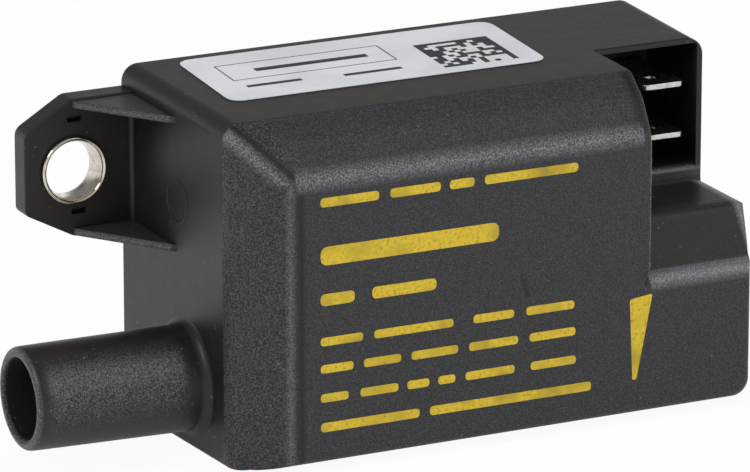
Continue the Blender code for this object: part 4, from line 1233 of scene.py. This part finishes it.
    def add_ring(self, body: bpy.types.Object) -> None:
        """Joins the faint raised ring that the mould left on the left end.

        Formula: circles about the ring's middle, each at a height above the drafted end face.

        Args:
            body: the moulding so far.
        """
        profile = np.array(self.ring)
        angle = np.linspace(0.0, ROUND, 64, endpoint=False)[None]
        u = self.ring_at[0] + profile[:, 1:] * np.cos(angle)
        z = self.ring_at[1] + profile[:, 1:] * np.sin(angle)
        ring = new_object("ring", np.stack([self.draft * u - profile[:, :1], u, z], -1),
                          grid_faces(len(profile), 64, loop=True))
        combine(body, ring, Cut.JOIN)

    def hollow(self, body: bpy.types.Object) -> None:
        """Opens the potting cavity from the back, the socket bore, the contact passage and the tab slots.

        Args:
            body: the moulding so far.
        """
        low, high = self.wall + 0.7, self.height - self.wall - 0.7
        notch, right = self.bay_left - self.wall, self.length - self.wall - 0.7
        back, front = self.shoulder - 1.2, self.depth - self.wall
        block_top = self.block - self.wall
        for name, x, u, z in (
                ("main", (self.wall + 0.6, notch), (-2.0, back), (low, high)),
                ("front", (self.inset + 2.3, notch), (back - 1.0, front),
                 (low + 1.0, self.height - self.inset - 2.6)),
                ("lower", (notch - 1.0, right), (-2.0, self.block_face - 1.6), (low, block_top)),
                ("upper", (notch - 1.0, right), (-2.0, self.bay_floor - self.wall), (block_top - 1.0, high))):
            combine(body, box(name, x, u, z), Cut.REMOVE)
        face = self.draft * self.tube_axis[0] + 0.1
        flare = [*self.bore_mouth, (face + self.tube_length, 0.0)]
        flare = np.add(flare, (-self.tube_length, self.tube_bore))
        combine(body, loft("bore", self.socket_ring(flare[:, 0], flare[:, 1])), Cut.REMOVE)
        way = [(-2.0, self.passage), (self.wall + 3.0, self.passage)]
        combine(body, turned("passage", way, self.tube_axis, Along.LENGTH, 32, closed=False), Cut.REMOVE)
        x, u, half = self.slot
        for z in TAB_HEIGHTS:
            combine(body, box("slot", x, u, (z - half, z + half)), Cut.REMOVE)

    def build(self) -> bpy.types.Object:
        """Builds the whole moulding.

        Returns:
            The finished mesh, smooth where it is curved and crisp at its mould edges.
        """
        body = self.shell()
        self.cut_notch(body)
        self.cut_bay(body)
        self.add_tube(body)
        self.add_lug(body)
        self.add_ring(body)
        self.hollow(body)
        smooth(body, 30.0)
        return body


@dataclass
class FixingBush:
    """Pressed metal bush through the lug with a rolled rim (mm)."""

    radius: float = 4.15
    bore: float = 3.72
    flange: float = 4.6
    seat: float = 3.7
    lean: float = 0.065

    def build(self) -> bpy.types.Object:
        """Turns the bush about the depth axis and leans it by lean per millimetre of depth.

        Returns:
            The closed bush.
        """
        s, b, f = self.seat, self.bore, self.flange
        rolled = curve([(s - 0.02, self.radius + 0.02), (s, f - 0.1), (s + 0.12, f), (s + 0.3, f - 0.01),
                        (s + 0.46, f - 0.1), (s + 0.54, f - 0.24), (s + 0.52, f - 0.38), (s + 0.42, f - 0.5),
                        (s + 0.2, f - 0.62), (s - 0.15, f - 0.72), (s - 0.7, b + 0.06), (s - 1.3, b)], 40)
        tail = [(0.5, b), (0.12, b + 0.08), (0.05, b + 0.2), (0.1, self.radius - 0.05), (0.3, self.radius)]
        profile = np.concatenate([rolled, tail])
        bush = turned("fixing_bush", profile, (-EYE_REACH, EYE_HEIGHT), Along.DEPTH, 96)
        co = np.empty(len(bush.data.vertices) * 3)
        bush.data.vertices.foreach_get("co", co)
        co = co.reshape(-1, 3)
        co[:, 2] += self.lean * ((U_MIDDLE * MM - co[:, 1]) - s / 2.0 * MM)
        bush.data.vertices.foreach_set("co", co.ravel())
        smooth(bush, 50.0)
        return bush


@dataclass
class MainsTab:
    """Flat 6.3 mm tab: rounded tip corners, pressed edges and a locking hole (mm)."""

    name: str
    height: float
    right: float = 74.0
    width: float = 6.3
    thickness: float = 0.8
    tip: float = 19.5
    length: float = 17.3
    hole: tuple = (4.0, 0.85, 1.45)     # distance from the tip, radius, radius of its dimple

    def build(self) -> bpy.types.Object:
        """Draws the tab's outline out over its thickness with softened rims.

        Returns:
            The bored tab.
        """
        left, rear = self.right - self.width, self.tip - self.length
        outline = soft_corners(rectangle((left, self.right), (rear, self.tip)), (0.1, 0.1, 1.1, 1.1), 7)
        low, high = self.height - self.thickness / 2, self.height + self.thickness / 2
        tab = plate(self.name, outline, low, high, Along.HEIGHT, 0.16)
        back, radius, wide = self.hole
        bore = [(low - 1.0, radius), (high - 0.28, radius), (high + 0.12, wide), (high + 0.4, wide)]
        hole = turned("hole", bore, ((left + self.right) / 2, self.tip - back), Along.HEIGHT, 40,
                      closed=False)
        combine(tab, hole, Cut.REMOVE)
        smooth(tab, 35.0)
        return tab


@dataclass
class TopLabel:
    """White film label on the top face with plain printed shapes (mm)."""

    left: float = 7.0
    length: float = 46.2
    back: float = 1.9
    depth: float = 19.6
    skew: float = 1.0
    corner: float = 2.0
    lift: float = 0.06
    thickness: float = 0.1
    line: float = 0.18
    field: tuple = ((10.7, 34.6), (6.3, 13.3))          # x and u limits of the outlined field
    bars: tuple = (((15.2, 31.6), (9.2, 10.5)), ((11.4, 19.3), (15.8, 16.7)), ((25.2, 33.6), (16.4, 17.3)))
    panel: tuple = (39.0, 8.4)                          # x and u of the first square's corner
    cell: float = 0.84
    count: int = 13
    filled: float = 0.52                                # share of the squares that are printed

    def lay(self, plain: np.ndarray, lift: float) -> np.ndarray:
        """Places (x, u) points on the drafted top face, lift above it."""
        return np.stack([plain[..., 0], plain[..., 1], BODY_HEIGHT - DRAFT * plain[..., 1] + lift], -1)

    def film(self) -> bpy.types.Object:
        """Builds the label: its outline at two heights with a slightly softened upper rim.

        Returns:
            The closed film.
        """
        x1, u1 = self.left + self.length, self.back + self.depth
        outline = soft_corners([(self.left, self.back), (x1, self.back), (x1 - self.skew, u1),
                                (self.left - self.skew, u1)], self.corner * 1.15, 14)
        middle, top = outline.mean(0), self.lift + self.thickness
        rows = [(self.lift, 1.0), (top - 0.03, 1.0), (top, 0.997)]
        rings = [self.lay(middle + (outline - middle) * factor, lift) for lift, factor in rows]
        film = loft("label_film", np.stack(rings))
        smooth(film, 40.0, 0.001)
        return film

    def mark(self, corners: np.ndarray) -> bpy.types.Object:
        """Thin ink patch over a closed outline of (x, u) points."""
        base = self.lift + self.thickness
        return loft("mark", np.stack([self.lay(corners, base + lift) for lift in (-0.01, 0.015)]))

    def quad(self, x: tuple, u: tuple) -> np.ndarray:
        """Outline of a rectangle that leans with the label.

        Args:
            x: its (low, high) limits in x.
            u: its (low, high) limits in u.

        Returns:
            Rows of (x, u).
        """
        corners = rectangle(x, u)
        corners[:, 0] -= self.skew * (corners[:, 1] - self.back) / self.depth
        return corners

    def ink(self) -> bpy.types.Object:
        """Builds the printing: an outlined field, plain bars and a panel of small squares.

        Returns:
            One mesh of thin closed patches.
        """
        line, (x, u) = self.line, self.field
        sides = (u[0] + line, u[1] - line)
        limits = [(x, (u[0], sides[0])), (x, (sides[1], u[1])), ((x[0], x[0] + line), sides),
                  ((x[1] - line, x[1]), sides), *self.bars]
        filled = np.random.default_rng(7).random((self.count, self.count)) < self.filled
        filled[::2, 0] = filled[0, :] = filled[:, -1] = True
        printed = self.cell * 0.98
        for row, column in np.argwhere(filled):
            cx, cu = self.panel[0] + column * self.cell, self.panel[1] + row * self.cell
            limits.append(((cx, cx + printed), (cu, cu + printed)))
        ink = merged("label_printing", [self.mark(self.quad(*pair)) for pair in limits])
        smooth(ink, 40.0, 0.0001, False)
        return ink


@dataclass
class FrontPrinting:
    """Yellow pad printing on the front face, kept to plain bars of the lines' lengths (mm)."""

    left: float = 11.7
    half: float = 0.02          # half the ink's thickness
    wedge: tuple = ((57.0, 17.2), (60.4, 17.6), (58.1, 6.0), (57.5, 6.0))
    # height of the middle of each line, thickness of its bars, (start, end) of each bar from the left edge
    rows: tuple = ((36.5, 1.25, ((0.0, 8.4), (10.0, 17.3), (18.6, 22.2), (23.7, 37.4))),
                   (29.3, 2.5, ((0.0, 25.8),)),
                   (23.4, 1.6, ((0.0, 4.9), (7.4, 16.7))),
                   (17.75, 1.15, ((0.0, 6.1), (7.7, 19.2), (22.1, 28.1), (29.9, 37.0))),
                   (14.05, 1.15, ((0.0, 4.7), (6.2, 11.6), (13.1, 19.9), (21.5, 28.7), (30.4, 37.2))),
                   (10.1, 1.15, ((0.0, 4.0), (5.7, 11.2), (12.5, 15.7), (17.0, 19.5), (21.0, 28.2),
                                 (30.6, 37.3))),
                   (6.1, 1.25, ((0.0, 14.3), (15.8, 39.6))))

    def patch(self, outline: np.ndarray) -> bpy.types.Object:
        """Thin ink patch over a closed outline of (x, z) points."""
        return plate("patch", outline, BODY_DEPTH - self.half, BODY_DEPTH + self.half, Along.DEPTH)

    def build(self) -> bpy.types.Object:
        """Builds the bars and one plain wedge beside them.

        Returns:
            One mesh of thin closed patches.
        """
        parts = []
        for z, thick, bars in self.rows:
            for start, end in bars:
                bar = rectangle((self.left + start, self.left + end), (z - thick / 2, z + thick / 2))
                parts.append(self.patch(soft_corners(bar, thick * 0.45, 7)))
        parts.append(self.patch(soft_corners(self.wedge, (0.4, 0.4, 0.2, 0.2), 6)))
        ink = merged("front_printing", parts)
        smooth(ink, 40.0, 0.0001, False)
        return ink


@dataclass
class ResinSkin:
    """Cast surface of the potting at the open back, drawn up the walls by surface tension (mm)."""

    level: float = 0.47
    climb: float = 0.36
    fade: float = 1.1
    half: float = 0.02          # half the skin's thickness
    ripple: float = 0.03

    def spaced(self, a: float, b: float, count: int) -> np.ndarray:
        """Positions from a to b that lie closer together towards both ends."""
        return (a + b) / 2 + (b - a) / 2 * np.sin(np.linspace(-1.0, 1.0, count) * np.pi / 2)

    def build(self) -> bpy.types.Object:
        """Grid over the cavity's mouth.

        Formula: depth = level + slow ripple - climb times exp(-distance to the nearest wall / fade).

        Returns:
            The closed skin.
        """
        low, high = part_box("potting_compound")
        x0, x1 = low.x / MM + X_MIDDLE, high.x / MM + X_MIDDLE
        z0, z1 = low.z / MM, high.z / MM
        x, z = np.meshgrid(self.spaced(x0, x1, 90), self.spaced(z0, z1, 60), indexing="ij")
        near = np.minimum(np.minimum(x - x0, x1 - x), np.minimum(z - z0, z1 - z))
        ripple = self.ripple * np.sin(x / 7.1 + 0.6 * np.sin(z / 5.3)) * np.cos(z / 9.7)
        ripple *= np.clip(near / 2.0, 0.0, 1.0)
        top = self.level - self.half - self.climb * np.exp(-near / self.fade) + ripple
        under = np.full_like(top, self.level + self.half)
        sheets = np.stack([np.stack([x, top, z], -1), np.stack([x, under, z], -1)])
        rows, columns = x.shape
        upper = grid_faces(rows, columns, ring=False)
        lower = (np.array(upper) + rows * columns).tolist()
        index = np.arange(rows * columns).reshape(rows, columns)
        rim = np.concatenate([index[:-1, 0], index[-1, :-1], index[:0:-1, -1], index[0, :0:-1]])
        after = np.roll(rim, -1)
        wall = np.stack([rim, after, after + rows * columns, rim + rows * columns], -1).tolist()
        skin = new_object("resin_surface", sheets, upper + lower + wall)
        smooth(skin, 40.0, 0.001)
        return skin


@dataclass
class Studio:
    """Camera, pale floor and plain soft light."""

    camera_at: tuple = (-0.36276, -0.737955, 0.27697)       # metres
    looks: tuple = (0.4235, 0.8573, -0.2928)                # direction
    lens: float = 312.9                 # mm
    sensor: float = 36.0                # mm
    nearest: float = 0.05               # metres from the camera at which it starts to see
    aim: tuple = (0.0, 0.0, 0.02)       # metres, the point at which every lamp is turned
    floor_tone: str = "#EDEDED"
    floor_clouds: str = "#F2F2F2"
    floor_half: float = 900.0           # mm
    floor_level: float = -0.02          # mm
    floor_white: float = 0.94           # share of plain white that the camera sees in the floor
    floor_mirrored: float = 0.4         # and that mirrors see
    fill: float = 0.5                   # strength of the sky for matt surfaces
    horizon: float = 0.02               # rise of direction up to which mirrors find white
    dim_from: float = 0.36              # and above which they find a dim ceiling
    front_sky: float = 0.44             # strength of that ceiling in front of the object
    back_sky: float = 0.26              # and behind it
    front_to_back: tuple = (-0.45, 0.0)     # y of direction over which the one turns into the other
    # name, place, width and height in metres, power in watts, whether it shows in gloss
    lamps: tuple = (("overhead", (0.05, -0.15, 0.80), (0.5, 0.5), 2.4, False),
                    ("key", (0.34, -0.54, 0.46), (0.30, 0.30), 0.5, True),
                    ("side", (-0.50, -0.14, 0.42), (0.30, 0.20), 1.1, True))

    def placed(self, data: bpy.types.ID, at: tuple, way: Vector) -> bpy.types.Object:
        """Puts a camera or a lamp into the scene.

        Args:
            data: the camera or the lamp.
            at: its place in metres.
            way: direction in which it looks.

        Returns:
            The new object.
        """
        obj = bpy.data.objects.new(data.name, data)
        bpy.context.scene.collection.objects.link(obj)
        obj.location = at
        obj.rotation_mode = "QUATERNION"
        obj.rotation_quaternion = way.to_track_quat("-Z", "Y")
        return obj

    def camera(self) -> None:
        """Sets the camera where the photograph was taken from."""
        data = bpy.data.cameras.new("view")
        data.lens, data.sensor_width, data.clip_start = self.lens, self.sensor, self.nearest
        bpy.context.scene.camera = self.placed(data, self.camera_at, Vector(self.looks))

    def sky(self) -> None:
        """Sky that is white to the camera and glass, dim above its horizon to mirrors, grey to the rest."""
        sky = bpy.data.worlds.new("studio")
        sky.use_nodes = True
        bpy.context.scene.world = sky
        tree = sky.node_tree
        path = node(tree, "ShaderNodeLightPath").outputs
        rise = node(tree, "ShaderNodeSeparateXYZ", None,
                    {0: node(tree, "ShaderNodeTexCoord").outputs["Generated"]})
        above = node(tree, "ShaderNodeMapRange", {"interpolation_type": "SMOOTHSTEP"},
                     {"Value": rise.outputs["Y"], "From Min": self.front_to_back[0],
                      "From Max": self.front_to_back[1], "To Min": self.front_sky, "To Max": self.back_sky})
        room = node(tree, "ShaderNodeMapRange", {"interpolation_type": "SMOOTHSTEP"},
                    {"Value": rise.outputs["Z"], "From Min": self.horizon, "From Max": self.dim_from,
                     "To Min": 1.0, "To Max": above.outputs[0]})
        unseen = node(tree, "ShaderNodeMapRange", None,
                      {"Value": path["Is Glossy Ray"], "To Min": self.fill, "To Max": room.outputs[0]})
        plain = node(tree, "ShaderNodeMath", {"operation": "MAXIMUM"},
                     {0: path["Is Camera Ray"], 1: path["Is Transmission Ray"]})
        strength = node(tree, "ShaderNodeMath", {"operation": "MAXIMUM"},
                        {0: plain.outputs[0], 1: unseen.outputs[0]})
        background = tree.nodes["Background"]
        background.inputs["Color"].default_value = (1.0, 1.0, 1.0, 1.0)
        tree.links.new(strength.outputs[0], background.inputs["Strength"])

    def floor(self) -> None:
        """Floor, nearly plain white to the camera and glass and paler to mirrors, that keeps the shadow."""
        span = (-self.floor_half, self.floor_half)
        corners = np.insert(rectangle(span, span), 2, self.floor_level, axis=1)
        floor = new_object("floor", corners, [(0, 1, 2, 3)])
        look = Finish("pale_floor", Roughness=0.9, Specular_IOR_Level=0.0)
        look.colour(look.blend(look.noise(60.0), self.floor_tone, self.floor_clouds))
        path = node(look.tree, "ShaderNodeLightPath").outputs
        plain = look.maths("MAXIMUM", path["Is Camera Ray"], path["Is Transmission Ray"])
        seen = look.maths("MAXIMUM", look.product(plain, self.floor_white),
                          look.product(path["Is Glossy Ray"], self.floor_mirrored))
        white = node(look.tree, "ShaderNodeEmission")
        both = node(look.tree, "ShaderNodeMixShader", None,
                    {0: seen, 1: look.shader.outputs[0], 2: white.outputs[0]})
        look.tree.links.new(both.outputs[0], look.tree.nodes["Material Output"].inputs["Surface"])
        floor.data.materials.append(look.material)

    def lamp(self, name: str, at: tuple, size: tuple, power: float, mirrored: bool) -> None:
        """Soft lamp aimed at the middle of the object.

        Args:
            name: name of the lamp.
            at: its place in metres.
            size: its width and height in metres.
            power: its power in watts.
            mirrored: whether it shows in gloss.
        """
        data = bpy.data.lights.new(name, "AREA")
        data.shape = "RECTANGLE"
        data.size, data.size_y, data.energy = *size, power
        self.placed(data, at, Vector(self.aim) - Vector(at)).visible_glossy = mirrored

    def build(self) -> None:
        """Sets up the whole studio."""
        self.camera()
        self.sky()
        self.floor()
        for lamp in self.lamps:
            self.lamp(*lamp)
        bpy.context.scene.view_settings.view_transform = "Standard"


class Inside:
    """Finishes of the solids that stay as they are behind the walls."""

    FINISHES = (
        (HiddenFinish("cast_epoxy_core", "#17181A", "#2B2B2C", 2.0, 0.4), ("potting_compound",)),
        (HiddenFinish("sintered_ferrite", "#3A3A3D", "#4B4B4E", 0.5, 0.6), ("ferrite_rod",)),
        (HiddenFinish("natural_polyamide", "#D9D2BC", "#CCC4AB", 1.5, 0.45),
         ("primary_bobbin", "secondary_bobbin")),
        (HiddenFinish("enamelled_copper", "#8C4A24", "#C77A45", 0.25, 0.3, 0.9, Pattern.TURNS),
         ("primary_winding",) + tuple(f"secondary_winding_{i}" for i in range(1, 6))),
        (HiddenFinish("drawn_brass", "#C9A24E", "#B08A3C", 0.4, 0.3, 1.0), ("socket_contact",)),
        (HiddenFinish("tinned_copper_wire", "#C8C6C0", "#A8A59D", 0.4, 0.35, 1.0),
         ("socket_lead", "return_lead", "primary_lead_1", "primary_lead_2")),
        (HiddenFinish("brown_silicone_sleeve", "#6B4127", "#5D3721", 0.6, 0.55), ("line_lead",)),
        (HiddenFinish("blue_silicone_sleeve", "#2D5C93", "#264F80", 0.6, 0.55), ("neutral_lead",)),
        (HiddenFinish("glass_epoxy_board", "#2F6B3C", "#3E7F4B", 0.6, 0.4, 0.0, Pattern.WEAVE),
         ("circuit_board",)),
        (HiddenFinish("dipped_film_capacitor", "#9A3B22", "#862F1A", 1.0, 0.35), ("storage_capacitor",)),
        (HiddenFinish("carbon_film_resistor", "#C9B48A", "#7A4A2A", 2.2, 0.4, 0.0, Pattern.BANDS),
         ("charging_resistor",)),
        (HiddenFinish("moulded_diode", "#222224", "#B9B9B5", 3.4, 0.4, 0.0, Pattern.BANDS),
         ("rectifier_diode",)),
        (HiddenFinish("glass_diode", "#B4532A", "#2A2A2A", 2.6, 0.15, 0.0, Pattern.BANDS),
         ("trigger_diode",)),
        (HiddenFinish("moulded_semiconductor", "#232326", "#2E2E31", 0.6, 0.5), ("switching_thyristor",)),
        (HiddenFinish("dipped_varistor", "#2F5FA8", "#294F8C", 0.8, 0.4), ("surge_suppressor",)),
    )

    def dress(self, nodes: dict) -> None:
        """Gives every hidden solid its finish.

        Args:
            nodes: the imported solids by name.
        """
        for finish, names in self.FINISHES:
            look = finish.make()
            for name in names:
                solid = nodes[name]
                solid.data.materials.clear()
                solid.data.materials.append(look)
            LOG.info("%s on %d solids", finish.name, len(names))


def main() -> None:
    """Builds the studio and every piece, in order from the moulding to its printing."""
    logging.basicConfig(level=logging.INFO, format="%(name)s %(message)s")
    Studio().build()
    polyamide = BlackPolyamide().make()
    hand_over(Moulding().build(), polyamide, "moulding", "housing")
    hand_over(FixingBush().build(), NickelPlate().make(), "nickel_plating", "mounting_eyelet")
    tin = TinnedBrass().make()
    for wire, height in zip(("line", "neutral"), TAB_HEIGHTS):
        hand_over(MainsTab(f"mains_tab_{wire}", height).build(), tin, "tinned_brass", f"tab_{wire}")
    label = TopLabel()
    hand_over(label.film(), LabelFilm().make(), "label_film", "rating_label")
    hand_over(label.ink(), PadInk("black_thermal_ink", "#2A2A2C", "#4A4A4D", 0.3).make(), None)
    hand_over(FrontPrinting().build(), PadInk("yellow_pad_ink", "#E2C336", "#7C6A28", 0.6).make(), None)
    hand_over(ResinSkin().build(), CastResin().make(), "potting_resin")
    Inside().dress(frame["nodes"])


if __name__ == "__main__":
    main()
